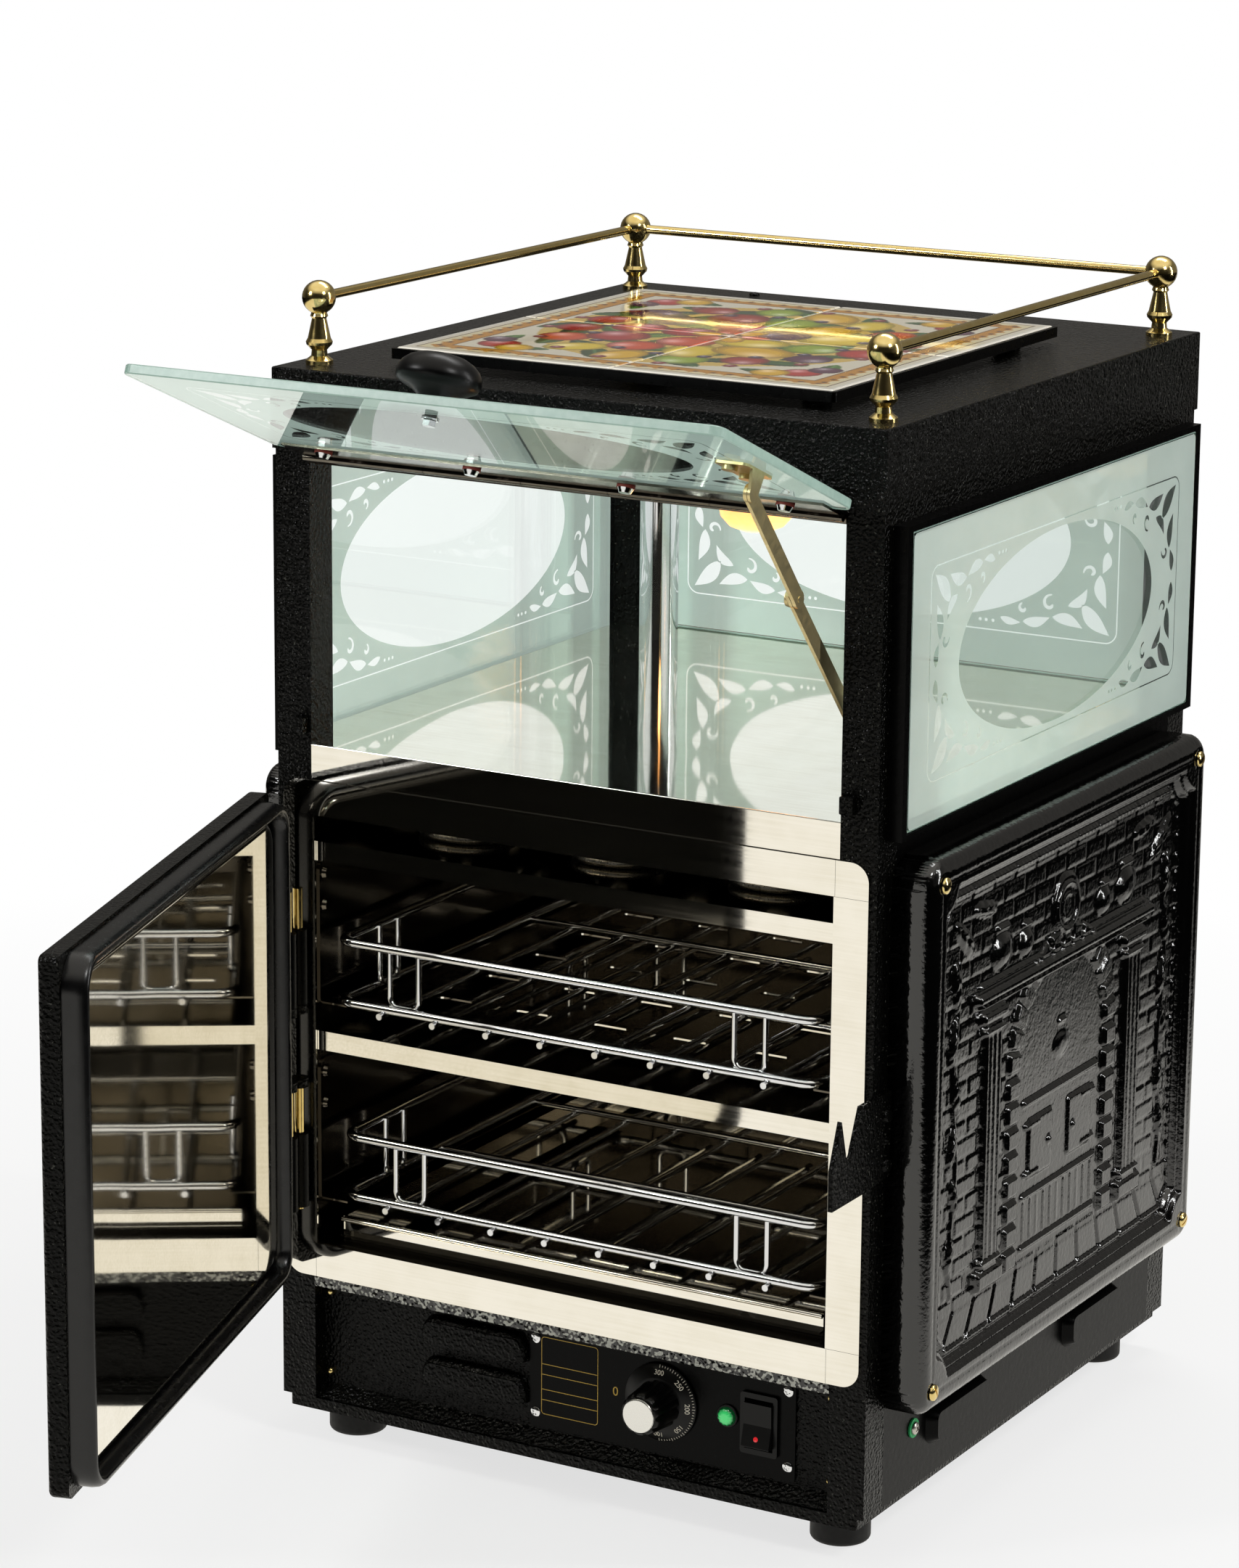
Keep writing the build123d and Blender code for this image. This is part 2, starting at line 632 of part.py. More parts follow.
# ================= cast side panels =================
# a hearth in relief on the sunk field; across and up are from the panel's middle
arch_r, arch_w, arch_z, arch_leg = 62.0, 19.0, 10.0, 128.0
relief_boxes = (          # rise, across (and its mirror), up, width, height
    (4.2, 104.0, -28.0, 26.0, 168.0), (5.4, 104.0, 58.0, 36.0, 9.0), (5.0, 104.0, 49.0, 31.0, 6.0),
    (5.4, 104.0, -112.0, 38.0, 14.0), (5.0, 104.0, -101.0, 32.0, 6.0), (6.4, 0.0, 72.0, 262.0, 8.0),
    (4.8, 0.0, 66.0, 246.0, 5.0), (4.6, 0.0, 79.0, 250.0, 4.0), (1.6, 29.0, -46.0, 50.0, 54.0),
    (3.0, 29.0, -46.0, 36.0, 40.0), (3.4, 0.0, -14.0, 112.0, 5.0), (2.6, 0.0, -76.0, 112.0, 5.0),
    (2.6, 0.0, -110.0, 112.0, 5.0),
)
relief_rounds = ((4.6, 92.0, 95.5, 34.0, 28.8), (4.6, 58.0, 92.8, 24.0, 23.0), (2.6, 0.0, 105.0, 42.0, 42.0),
                 (3.6, 0.0, 12.0, 40.0, 28.0))
with BuildPart() as cast_panels:
    for sx in (-1, 1):
        wall = Plane.YZ.offset(sx * cab_w / 2)
        mid = (cab_y, panel_z0 + panel_h / 2)
        with BuildSketch(wall):
            with Locations(mid):
                RectangleRounded(panel_l, panel_h, 16)
        extrude(amount=sx * panel_out)
    rims = cast_panels.edges().group_by(Axis.X)
    fillet(rims[0], panel_edge)
    fillet(cast_panels.edges().group_by(Axis.X)[-1], panel_edge)
    for sx in (-1, 1):
        wall = Plane.YZ.offset(sx * cab_w / 2)
        mid = (cab_y, panel_z0 + panel_h / 2)
        with BuildSketch(wall):
            with Locations(mid):
                RectangleRounded(panel_l - 2 * panel_wall, panel_h - 2 * panel_wall, 12)
        extrude(amount=sx * (panel_out - field_deep - panel_wall), mode=Mode.SUBTRACT)
        # stepped moulding down to the picture field, its corners notched round the screws
        for inset, deep, notch in ((field_in, field_deep * 0.4, notch_r), (field_in + step_w, field_deep, notch_r + step_w)):
            with BuildSketch(wall.offset(sx * panel_out)):
                with Locations(mid):
                    Rectangle(panel_l - 2 * inset, panel_h - 2 * inset)
                    with GridLocations(panel_l - 2 * panel_screw, panel_h - 2 * panel_screw, 2, 2):
                        Circle(notch, mode=Mode.SUBTRACT)
            extrude(amount=-sx * deep, mode=Mode.SUBTRACT)
        ground = wall.offset(sx * (panel_out - field_deep - 0.5))
        with BuildSketch(ground):
            with Locations((mid[0], mid[1] + arch_z)):
                Circle(arch_r + arch_w)
                with Locations((0, -arch_leg / 2)):
                    Rectangle(2 * (arch_r + arch_w), arch_leg)
                Circle(arch_r, mode=Mode.SUBTRACT)
                with Locations((0, -arch_leg / 2)):
                    Rectangle(2 * arch_r, arch_leg, mode=Mode.SUBTRACT)
        extrude(amount=sx * (3.4 + 0.5))
        for rise, across, up, w, h in relief_boxes:
            with BuildSketch(ground):
                with Locations(*{(mid[0] + across, mid[1] + up), (mid[0] - across, mid[1] + up)}):
                    RectangleRounded(w, h, min(w, h) / 3)
            extrude(amount=sx * (rise + 0.5))
        for rise, across, up, w, h in relief_rounds:
            with BuildSketch(ground):
                with Locations(*{(mid[0] + across, mid[1] + up), (mid[0] - across, mid[1] + up)}):
                    Ellipse(w / 2, h / 2)
            extrude(amount=sx * (rise + 0.5))

with BuildPart() as panel_screws:
    for sx in (-1, 1):
        with BuildSketch(Plane.YZ.offset(sx * (cab_w / 2 + panel_out))):
            with Locations((cab_y, panel_z0 + panel_h / 2)):
                with GridLocations(panel_l - 2 * panel_screw, panel_h - 2 * panel_screw, 2, 2):
                    Circle(5.2)
        extrude(amount=sx * 2.6, taper=22)

# ================= control area =================
face_y = y_front + recess
with BuildPart() as control_cover:
    with BuildSketch(Plane.YZ.offset(-in_x)):
        with BuildLine():
            Polyline(
                (y_front, face_z0), (y_front, face_z0 - band_h), (face_y, face_z0 - band_h),
                (face_y, cover_low), (y_front + 2, z_cab + 1.0), (y_front + 2, z_cab),
                (face_y + sheet, z_cab), (face_y + sheet, face_z0), (y_front, face_z0),
            )
        make_face()
    extrude(amount=2 * in_x)
    with BuildSketch(Plane.YZ.offset(-in_x)):
        with BuildLine():
            Polyline(
                (face_y + sheet, face_z0 - band_h + 1.5), (face_y + sheet, face_z0 - 1.5),
                (y_front + sheet, face_z0 - 1.5), (y_front + sheet, face_z0 - band_h + 1.5),
                (face_y + sheet, face_z0 - band_h + 1.5),
            )
        make_face()
    extrude(amount=2 * in_x, mode=Mode.SUBTRACT)
    louvre_w, louvre_h, louvre_out = 77.0, 17.0, 7.5
    for lz in (82.0 + 1.0, 55.0):
        with BuildSketch(Plane.XZ.offset(-face_y)):
            with Locations((-71.5, lz + louvre_h / 2)):
                RectangleRounded(louvre_w, louvre_h, 8)
        extrude(amount=louvre_out, taper=22)
        with BuildSketch(Plane.XZ.offset(-(face_y + sheet))):
            with Locations((-71.5, lz + louvre_h / 2)):
                RectangleRounded(louvre_w - 3.2, louvre_h - 3.2, 6.4)
        extrude(amount=louvre_out, taper=20, mode=Mode.SUBTRACT)
        with BuildSketch(Plane.XZ.offset(-(face_y - 1.2))):
            with Locations((-71.5, lz + 2.2)):
                Rectangle(louvre_w - 20, 5.0)
        extrude(amount=3.0, mode=Mode.SUBTRACT)
    with BuildSketch(Plane.XZ.offset(-(face_y + sheet))):
        with Locations((dial_x, dial_z)):
            Circle(spindle_r + pin_play + 1)
        with Locations((lamp_x, dial_z)):
            Circle(5)
        with Locations((switch_x, dial_z - 1)):
            Rectangle(rocker_w + 2, rocker_h + 2)
    extrude(amount=4, mode=Mode.SUBTRACT)

with BuildPart() as control_plate:
    with BuildSketch(Plane.XZ.offset(-face_y)):
        with Locations(((plate_x0 + plate_x1) / 2, (plate_z0 + plate_z1) / 2)):
            RectangleRounded(plate_x1 - plate_x0, plate_z1 - plate_z0, 2)
        with Locations((dial_x, dial_z)):
            Circle(spindle_r + pin_play + 1, mode=Mode.SUBTRACT)
        with Locations((lamp_x, dial_z)):
            Circle(5, mode=Mode.SUBTRACT)
        with Locations((switch_x, dial_z - 1)):
            Rectangle(rocker_w + 2, rocker_h + 2, mode=Mode.SUBTRACT)
    extrude(amount=plate_t)

plate_y = face_y - plate_t
pin_in, pin_at_z = 4.2, (face_z0 - 14.0, cover_low + 8.0)
plate_screw_at = [(-27.0, 99.3), (-27.0, 49.5), (154.0, 99.3), (154.0, 49.5)]
with BuildPart() as cover_fixings:
    with BuildSketch(Plane.XZ.offset(-plate_y)):
        with Locations(*plate_screw_at):
            Circle(3.6)
    extrude(amount=1.8, taper=18)
    with BuildSketch(Plane.XZ.offset(-face_y)):
        with Locations(*[(sx * (in_x - pin_in), pz) for sx in (-1, 1) for pz in pin_at_z]):
            Circle(2.6)
    extrude(amount=2.4)

with BuildPart() as thermostat:
    with BuildSketch(Plane.XZ.offset(-(face_y + sheet))):
        with Locations((dial_x, dial_z)):
            RectangleRounded(36, 32, 3)
    extrude(amount=-26)
    with BuildSketch(Plane.XZ.offset(-(face_y + sheet))):
        with Locations((dial_x, dial_z)):
            Circle(spindle_r)
    extrude(amount=sheet + plate_t + 18)

knob_y = plate_y - joint_gap - 0.2
with BuildPart() as thermostat_knob:
    with BuildSketch(Plane(origin=(dial_x, knob_y, dial_z), x_dir=(1, 0, 0), z_dir=(0, 0, 1))):
        with BuildLine():
            Polyline(
                (0, 0), (dial_r, 0), (dial_r, -1.6), (17.2, -dial_t), (16.2, -dial_t - 1.5),
                (14.8, -dial_t - grip_len + 1.5), (13.4, -dial_t - grip_len), (0, -dial_t - grip_len), (0, 0),
            )
        make_face()
    revolve(axis=Axis((dial_x, knob_y, dial_z), (0, 1, 0)))
    with BuildSketch(Plane.XZ.offset(-knob_y)):
        with Locations((dial_x, dial_z)):
            Circle(spindle_r + pin_play)
    extrude(amount=19, mode=Mode.SUBTRACT)
    # flutes round the grip
    with BuildSketch(Plane.XZ.offset(-(knob_y - dial_t - 2.5))):
        with Locations((dial_x, dial_z)):
            with PolarLocations(17.4, 9, start_angle=10):
                Circle(3.4)
    extrude(amount=grip_len, mode=Mode.SUBTRACT)

with BuildPart() as knob_cap:
    with BuildSketch(Plane.XZ.offset(-(knob_y - dial_t - grip_len))):
        with Locations((dial_x, dial_z)):
            Circle(11.0)
    extrude(amount=1.4)
    fillet(knob_cap.edges().group_by(Axis.Y)[0], 0.5)

with BuildPart() as pilot_lamp:
    with BuildSketch(Plane(origin=(lamp_x, plate_y, dial_z), x_dir=(1, 0, 0), z_dir=(0, 0, 1))):
        with BuildLine():
            Polyline((0, 20), (4.9, 20), (4.9, 0), (7.4, 0), (7.4, -1.6), (6.4, -3.4))
            Spline((6.4, -3.4), (0, -5.2), tangents=((-0.5, -0.87), (-1, 0)))
            Line((0, -5.2), (0, 20))
        make_face()
    revolve(axis=Axis((lamp_x, plate_y, dial_z), (0, 1, 0)))

switch_z = dial_z - 1
with BuildPart() as switch_housing:
    with BuildSketch(Plane.XZ.offset(-plate_y)):
        with Locations((switch_x, switch_z)):
            RectangleRounded(switch_w, switch_h, 2)
    extrude(amount=2.4)
    with BuildSketch(Plane.XZ.offset(-plate_y)):
        with Locations((switch_x, switch_z)):
            Rectangle(rocker_w + 1.6, rocker_h + 1.6)
    extrude(amount=-20)
    with BuildSketch(Plane.XZ.offset(-(plate_y - 2.4))):
        with Locations((switch_x, switch_z)):
            Rectangle(rocker_w, rocker_h)
    extrude(amount=-18, mode=Mode.SUBTRACT)

rock_y = plate_y + 4.0
with BuildPart() as rocker:
    with BuildSketch(Plane.YZ.offset(switch_x - rocker_w / 2 + joint_gap)):
        with BuildLine():
            Polyline(
                (rock_y + 5, switch_z - 6), (rock_y + 5, switch_z + 6), (rock_y - 4.2, switch_z + 14.4),
                (rock_y - 8.4, switch_z + 14.0), (rock_y - 8.0, switch_z), (rock_y - 11.4, switch_z - 14.0),
                (rock_y - 7.2, switch_z - 14.4), (rock_y + 5, switch_z - 6),
            )
        make_face()
    extrude(amount=rocker_w - 2 * joint_gap)
    fillet(rocker.edges().filter_by(Axis.X).group_by(Axis.Y)[0], 0.6)

with BuildPart() as terminal_block:
    with BuildSketch(Plane.XY.offset(z_base + sheet)):
        with Locations((150, y_back - 70)):
            Rectangle(62, 22)
    extrude(amount=20)
    with BuildSketch(Plane.XY.offset(z_base + sheet + 20)):
        with Locations((150, y_back - 70)):
            with GridLocations(15, 12, 4, 2):
                Circle(3)
    extrude(amount=-9, mode=Mode.SUBTRACT)

with BuildPart() as earth_screw:
    earth = Plane.YZ.offset(cab_w / 2)
    with BuildSketch(earth):
        with Locations((cab_y - 158, 69.0)):
            Circle(6.2)
    extrude(amount=1.2)
    with BuildSketch(earth.offset(1.2)):
        with Locations((cab_y - 158, 69.0)):
            Circle(4.2)
    extrude(amount=2.6, taper=18)

# ================= latch catch =================
catch_t = 3.0
bar_y = y_front - hinge_out - door_out - joint_gap - bar_r
notch_r = bar_r + 0.5
with BuildPart() as catch_plate:
    with BuildSketch(Plane.YZ.offset(cab_w / 2)):
        with BuildLine():
            Polyline(
                (y_front + 19, lever_z - 29), (y_front + 19, lever_z + 24.5), (bar_y + 15, lever_z + 24.5),
                (bar_y + notch_r, lever_z), (bar_y - notch_r, lever_z), (bar_y - 10.5, lever_z + 22),
                (bar_y - 21, lever_z - 6), (bar_y - 21, lever_z - 31), (bar_y + 22, lever_z - 31),
                (y_front + 19, lever_z - 29),
            )
        make_face()
        with Locations((bar_y, lever_z)):
            Circle(notch_r, mode=Mode.SUBTRACT)
    extrude(amount=catch_t)
    with BuildSketch(Plane.YZ.offset(cab_w / 2 + catch_t)):
        with Locations((y_front + 13.5, lever_z + 10), (y_front + 13.5, lever_z - 21)):
            Circle(4.4)
        with Locations((y_front + 10.5, lever_z - 5.5)):
            Circle(2.2)
    extrude(amount=2.4, taper=20)

# ================= door hinge on the cabinet =================
pin_y = y_front - hinge_out
strip_x = -face_w / 2 - 0.4
mount_z0, mount_z1 = arm_low_z + arm_h + 3.0, arm_up_z - joint_gap
lug_t = 6.0
with BuildPart() as hinge_mounts:
    with BuildSketch(Plane.XY.offset(mount_z0)):
        with BuildLine():
            Polyline(
                (-cab_w / 2 - 2.6, y_front + 17), (-cab_w / 2, y_front + 17), (-cab_w / 2, y_front),
                (strip_x, y_front), (strip_x, y_front - 3.0), (-cab_w / 2 - 2.6, y_front - 3.0),
                (-cab_w / 2 - 2.6, y_front + 17),
            )
        make_face()
    extrude(amount=mount_z1 - mount_z0)
    for lug_z in (mount_z1 - lug_t, arm_low_z + arm_h + sleeve_low + joint_gap):
        with BuildSketch(Plane.XY.offset(lug_z)):
            with Locations((hinge_x, pin_y)):
                Circle(knuckle_r)
            with BuildLine():
                Polyline(
                    (hinge_x, pin_y - knuckle_r), (-cab_w / 2 - 2.6, y_front - 3.0), (strip_x, y_front - 1.8),
                    (hinge_x, pin_y + knuckle_r), (hinge_x, pin_y - knuckle_r),
                )
            make_face()
            with Locations((hinge_x, pin_y)):
                Circle(pin_r, mode=Mode.SUBTRACT)
        extrude(amount=lug_t)

with BuildPart() as hinge_pins:
    for pz0, pz1, sz0, sz1 in (
        (mount_z1 - lug_t, arm_up_z + arm_h + joint_gap, arm_up_z + arm_h + joint_gap,
         arm_up_z + arm_h + sleeve_up),
        (arm_low_z - 2.0, arm_low_z + arm_h + sleeve_low + joint_gap + lug_t,
         arm_low_z + arm_h + joint_gap, arm_low_z + arm_h + sleeve_low + joint_gap),
    ):
        with BuildSketch(Plane.XY.offset(pz0)):
            with Locations((hinge_x, pin_y)):
                Circle(pin_r)
        extrude(amount=pz1 - pz0)
        with BuildSketch(Plane.XY.offset(sz0)):
            with Locations((hinge_x, pin_y)):
                Circle(sleeve_r)
        extrude(amount=sz1 - sz0)

# ================= door =================
# u runs from the hinge pin along the door, v is its depth; v grows towards the oven when shut
door_x = Vector(math.cos(door_a), -math.sin(door_a), 0)
door_n = Vector(math.sin(door_a), math.cos(door_a), 0)
pin_at = Vector(hinge_x, pin_y, 0)
door_plan = Plane(origin=pin_at, x_dir=door_x, z_dir=(0, 0, 1))
door_z0 = face_z0
door_mid_u = door_edge + door_w / 2
door_mid_z = door_z0 + door_h / 2
# planes parallel to the door's face, local x along u, local y up, normal away from the oven
door_inner = Plane(origin=pin_at - door_n * door_set, x_dir=door_x, z_dir=-door_n)
door_outer = door_inner.offset(door_t)

with BuildPart() as door_shell:
    with BuildSketch(door_inner):
        with Locations((door_mid_u, door_mid_z)):
            RectangleRounded(door_w, door_h, 5)
    extrude(amount=door_t)
    fillet(door_shell.faces().sort_by(lambda f: f.center().dot(door_n))[0].edges(), door_round)
    with BuildSketch(door_inner):
        with Locations((door_mid_u, door_mid_z)):
            RectangleRounded(door_w - 40, door_h - 40, 8)
    extrude(amount=door_t - 2, mode=Mode.SUBTRACT)

seal_w, seal_in, seal_h = 9.0, 2.0, 15.5
with BuildPart() as door_seal:
    with BuildSketch(door_inner):
        with Locations((door_mid_u, door_mid_z)):
            RectangleRounded(door_w - 2 * seal_in, door_h - 2 * seal_in, 9)
            RectangleRounded(
                door_w - 2 * seal_in - 2 * seal_w, door_h - 2 * seal_in - 2 * seal_w, 6, mode=Mode.SUBTRACT
            )
    extrude(amount=-seal_h)
    fillet(door_seal.faces().sort_by(lambda f: f.center().dot(door_n))[-1].edges(), 3.0)

pan_in = 12.5
pan_up = 7.5
with BuildPart() as door_pan:
    with BuildSketch(door_inner):
        with Locations((door_mid_u, door_mid_z)):
            RectangleRounded(door_w - 2 * pan_in, door_h - 2 * pan_in, 18)
    extrude(amount=-pan_up)
    fillet(door_pan.faces().sort_by(lambda f: f.center().dot(door_n))[-1].edges(), 5.0)
    with BuildSketch(door_inner):
        with Locations((door_mid_u, door_mid_z)):
            RectangleRounded(door_w - 2 * pan_in - 24, door_h - 2 * pan_in - 24, 8)
    extrude(amount=-(pan_up - 1.2), mode=Mode.SUBTRACT)

with BuildPart() as door_arms:
    for az in (arm_up_z, arm_low_z):
        with BuildSketch(door_plan.offset(az)):
            Circle(knuckle_r)
            with BuildLine():
                Polyline(
                    (-5.0, 0), (-1.0, -door_out - 4), (46, -door_out - 4), (50, -door_out),
                    (door_edge, -door_out), (door_edge, -door_set), (knuckle_r, 0), (-5.0, 0),
                )
            make_face()
            Circle(pin_r + pin_play, mode=Mode.SUBTRACT)
        extrude(amount=arm_h)

# ================= swing-over latch on the door's outer face =================
# at rest the lever leans back just past upright; shut, it lies level with its bar in the catch
pivot_r = 4.0
lever_mid = joint_gap + bar_r
lever_up = Location((lever_u, lever_z, 0), (0, 0, lever_lean))
with BuildPart() as latch_plate:
    with BuildSketch(door_outer):
        with Locations((lever_u, lever_z)):
            RectangleRounded(40, 26, 4)
    extrude(amount=1.2)
    with BuildSketch(door_outer):
        with Locations((lever_u, lever_z)):
            Circle(pivot_r)
    extrude(amount=lever_mid + lever_t / 2 + joint_gap + 2.8)
    with BuildSketch(door_outer.offset(lever_mid + lever_t / 2 + joint_gap)):
        with Locations((lever_u, lever_z)):
            Circle(7)
    extrude(amount=2.8)
    # stop for the raised lever
    with BuildSketch(door_outer):
        with Locations(lever_up):
            with Locations((-lever_w / 2 - joint_gap - 2.5, 22)):
                Circle(2.5)
    extrude(amount=lever_mid + lever_t / 2)

with BuildPart() as latch_lever:
    with BuildSketch(door_outer.offset(lever_mid - lever_t / 2)):
        with Locations(lever_up):
            Circle(9)
            with Locations((0, (lever_len - 14) / 2)):
                Rectangle(lever_w, lever_len - 14)
            Circle(pivot_r + pin_play, mode=Mode.SUBTRACT)
    extrude(amount=lever_t)
    bar_at = door_outer.offset(lever_mid) * lever_up * Location((0, lever_len - 20, 0), (-90, 0, 0))
    with BuildSketch(bar_at):
        Circle(bar_r)
    extrude(amount=20)
    # turned grip standing off the lever
    grip_at = door_outer.offset(lever_mid + lever_t / 2) * lever_up * Location((0, 92, 0))
    with BuildSketch(Plane(grip_at).rotated((90, 0, 0))):
        with BuildLine():
            grip_stem = Polyline((0, 0), (4.5, 0), (3.6, 6), (3.6, 8))
            ThreePointArc(grip_stem @ 1, (9.0, 14), (0, 21))
            Line((0, 21), (0, 0))
        make_face()
    revolve(axis=Axis(Plane(grip_at).origin, Plane(grip_at).z_dir))

# ================= flap =================
flap_a = math.radians(flap_up)
flap_pin = Vector(0, y_front - flap_out, z_top + flap_drop)
flap_n = Vector(0, math.sin(flap_a), math.cos(flap_a))
flap_w = Vector(0, -math.cos(flap_a), math.sin(flap_a))
# local x = X, local y = towards the hinge, normal = outer face of the flap
flap_plane = Plane(origin=flap_pin, x_dir=(1, 0, 0), z_dir=flap_n)
glass_n = leaf_t + 0.4
with BuildPart() as flap_glass:
    with BuildSketch(flap_plane.offset(glass_n)):
        with Locations((0, -(glass_w0 + glass_w1) / 2)):
            RectangleRounded(glass_w, glass_w1 - glass_w0, 7)
        with Locations(*[(sx, -screw_w) for sx in screw_xs]):
            Circle(2.6, mode=Mode.SUBTRACT)
    extrude(amount=glass_t)
    chamfer(flap_glass.faces().sort_by(lambda f: f.center().dot(flap_n))[0].outer_wire().edges(), 0.8)

knuckles = [(-leaf_w / 2, -100.0), (-30.0, 30.0), (100.0, leaf_w / 2)]
with BuildPart() as flap_strip:
    with BuildSketch(flap_plane.offset(0.4)):
        with Locations((0, -(barrel_r + 28) / 2)):
            Rectangle(leaf_w, 28 - barrel_r + 1.2)
        with Locations(*[(sx, -screw_w) for sx in screw_xs]):
            Circle(2.6, mode=Mode.SUBTRACT)
    extrude(amount=leaf_t)
    with BuildSketch(Plane.YZ.offset(-leaf_w / 2)):
        with Locations((flap_pin.Y, flap_pin.Z)):
            Circle(barrel_r + joint_gap)
    extrude(amount=leaf_w, mode=Mode.SUBTRACT)
    for x0, x1 in knuckles:
        with BuildSketch(Plane.YZ.offset(x0)):
            with Locations((flap_pin.Y, flap_pin.Z)):
                Circle(barrel_r)
        extrude(amount=x1 - x0)
        with BuildSketch(flap_plane.offset(0.4)):
            with Locations(((x0 + x1) / 2, -2.4)):
                Rectangle(x1 - x0, 4.6)
        extrude(amount=leaf_t)
    with BuildSketch(Plane.YZ.offset(-leaf_w / 2)):
        with Locations((flap_pin.Y, flap_pin.Z)):
            Circle(leaf_pin + pin_play)
    extrude(amount=leaf_w, mode=Mode.SUBTRACT)

with BuildPart() as flap_leaf_fixed:
    with BuildSketch(front):
        with Locations((0, z_top + 3.3)):
            Rectangle(leaf_w, 5.8)
    extrude(amount=1.2)
    for x0, x1 in ((-99.5, -30.5), (30.5, 99.5)):
        with BuildSketch(Plane.YZ.offset(x0)):
            with Locations((flap_pin.Y, flap_pin.Z)):
                Circle(barrel_r)
        extrude(amount=x1 - x0)
        with BuildSketch(Plane.YZ.offset(x0)):
            with Locations(((flap_pin.Y + y_front) / 2, flap_pin.Z - 1.0)):
                Rectangle(flap_out, 2.0)
        extrude(amount=x1 - x0)
    with BuildSketch(Plane.YZ.offset(-leaf_w / 2)):
        with Locations((flap_pin.Y, flap_pin.Z)):
            Circle(leaf_pin)
    extrude(amount=leaf_w)

with BuildPart() as flap_fixings:
    for sx in screw_xs:
        at = flap_plane.from_local_coords((sx, -screw_w, 0))
        under = Plane(origin=at, x_dir=(1, 0, 0), z_dir=flap_n)
        with BuildSketch(under.offset(-1.1)):
            Circle(2.4)
        extrude(amount=1.1 + glass_n + glass_t + 4.2)
        with BuildSketch(under.offset(-1.1)):
            Circle(5.0)
        extrude(amount=-3.0, taper=24)
        with BuildSketch(under.offset(glass_n + glass_t)):
            RegularPolygon(4.6, 6)
        extrude(amount=3.4)
    # screw that holds the knob
    at = flap_plane.from_local_coords((-8, -151.6, glass_n))
    with BuildSketch(Plane(origin=at, x_dir=(1, 0, 0), z_dir=flap_n)):
        Circle(5.2)
    extrude(amount=-1.0)
    with BuildSketch(Plane(origin=at, x_dir=(1, 0, 0), z_dir=flap_n).offset(-1.0)):
        RegularPolygon(4.2, 6)
    extrude(amount=-3.6)

with BuildPart() as flap_washers:
    for sx in screw_xs:
        at = flap_plane.from_local_coords((sx, -screw_w, 0.4))
        with BuildSketch(Plane(origin=at, x_dir=(1, 0, 0), z_dir=flap_n)):
            Circle(5.6)
            Circle(2.45, mode=Mode.SUBTRACT)
        extrude(amount=-1.5)

with BuildPart() as flap_knob:
    at = flap_plane.from_local_coords((-8, -151.6, glass_n + glass_t))
    with BuildSketch(Plane(origin=at, x_dir=(1, 0, 0), z_dir=flap_w)):
        with BuildLine():
            Polyline((0, 0), (20, 0), (18.4, 6.5))
            Spline((18.4, 6.5), (22.5, 13.0), (27.2, 19.0), tangents=((0, 1), (0.15, 1)))
            Spline((27.2, 19.0), (22.0, 25.2), (0, 29.0), tangents=((0.0, 1), (-1, 0)))
            Line((0, 29.0), (0, 0))
        make_face()
    revolve(axis=Axis(at, flap_n))

# ================= flap stay =================
p1 = flap_pin + flap_w * p1_w - flap_n * p1_n
knee = Vector(0, y_front - knee_y, z_top - knee_z)
p2 = Vector(0, y_front + p2_y, z_top - p2_z)
low_x0 = up_x0 - joint_gap - link_t
tab_x0 = up_x0 + link_t + joint_gap

with BuildPart() as stay_bracket:
    with BuildSketch(flap_plane.offset(glass_n)):
        with Locations((tab_x0 + 1.8 - 11, -(p1_w - 2))):
            RectangleRounded(22, 34, 3)
    extrude(amount=-1.6)
    with BuildSketch(Plane.YZ.offset(tab_x0)):
        with BuildLine():
            a = flap_plane.from_local_coords((0, -(p1_w - 8), glass_n))
            b = flap_plane.from_local_coords((0, -(p1_w + 8), glass_n))
            c = flap_plane.from_local_coords((0, -(p1_w + 5), -p1_n))
            d = flap_plane.from_local_coords((0, -(p1_w - 5), -p1_n))
            Polyline((a.Y, a.Z), (b.Y, b.Z), (c.Y, c.Z), (d.Y, d.Z), (a.Y, a.Z))
        make_face()
        with Locations((p1.Y, p1.Z)):
            Circle(eye_r)
    extrude(amount=1.8)
    with BuildSketch(Plane.YZ.offset(up_x0 + 0.1)):
        with Locations((p1.Y, p1.Z)):
            Circle(rivet_r)
    extrude(amount=link_t + 0.6)
    # fixing screws through the glass, with domed heads on its outer face
    for sw in (p1_w - 13, p1_w + 9):
        at = flap_plane.from_local_coords((tab_x0 - 12, -sw, glass_n))
        with BuildSketch(Plane(origin=at, x_dir=(1, 0, 0), z_dir=flap_n).offset(glass_t)):
            Circle(4.4)
        extrude(amount=2.8, taper=22)
        with BuildSketch(Plane(origin=at, x_dir=(1, 0, 0), z_dir=flap_n).offset(-1.6)):
            Circle(4.6)
        extrude(amount=-2.8)

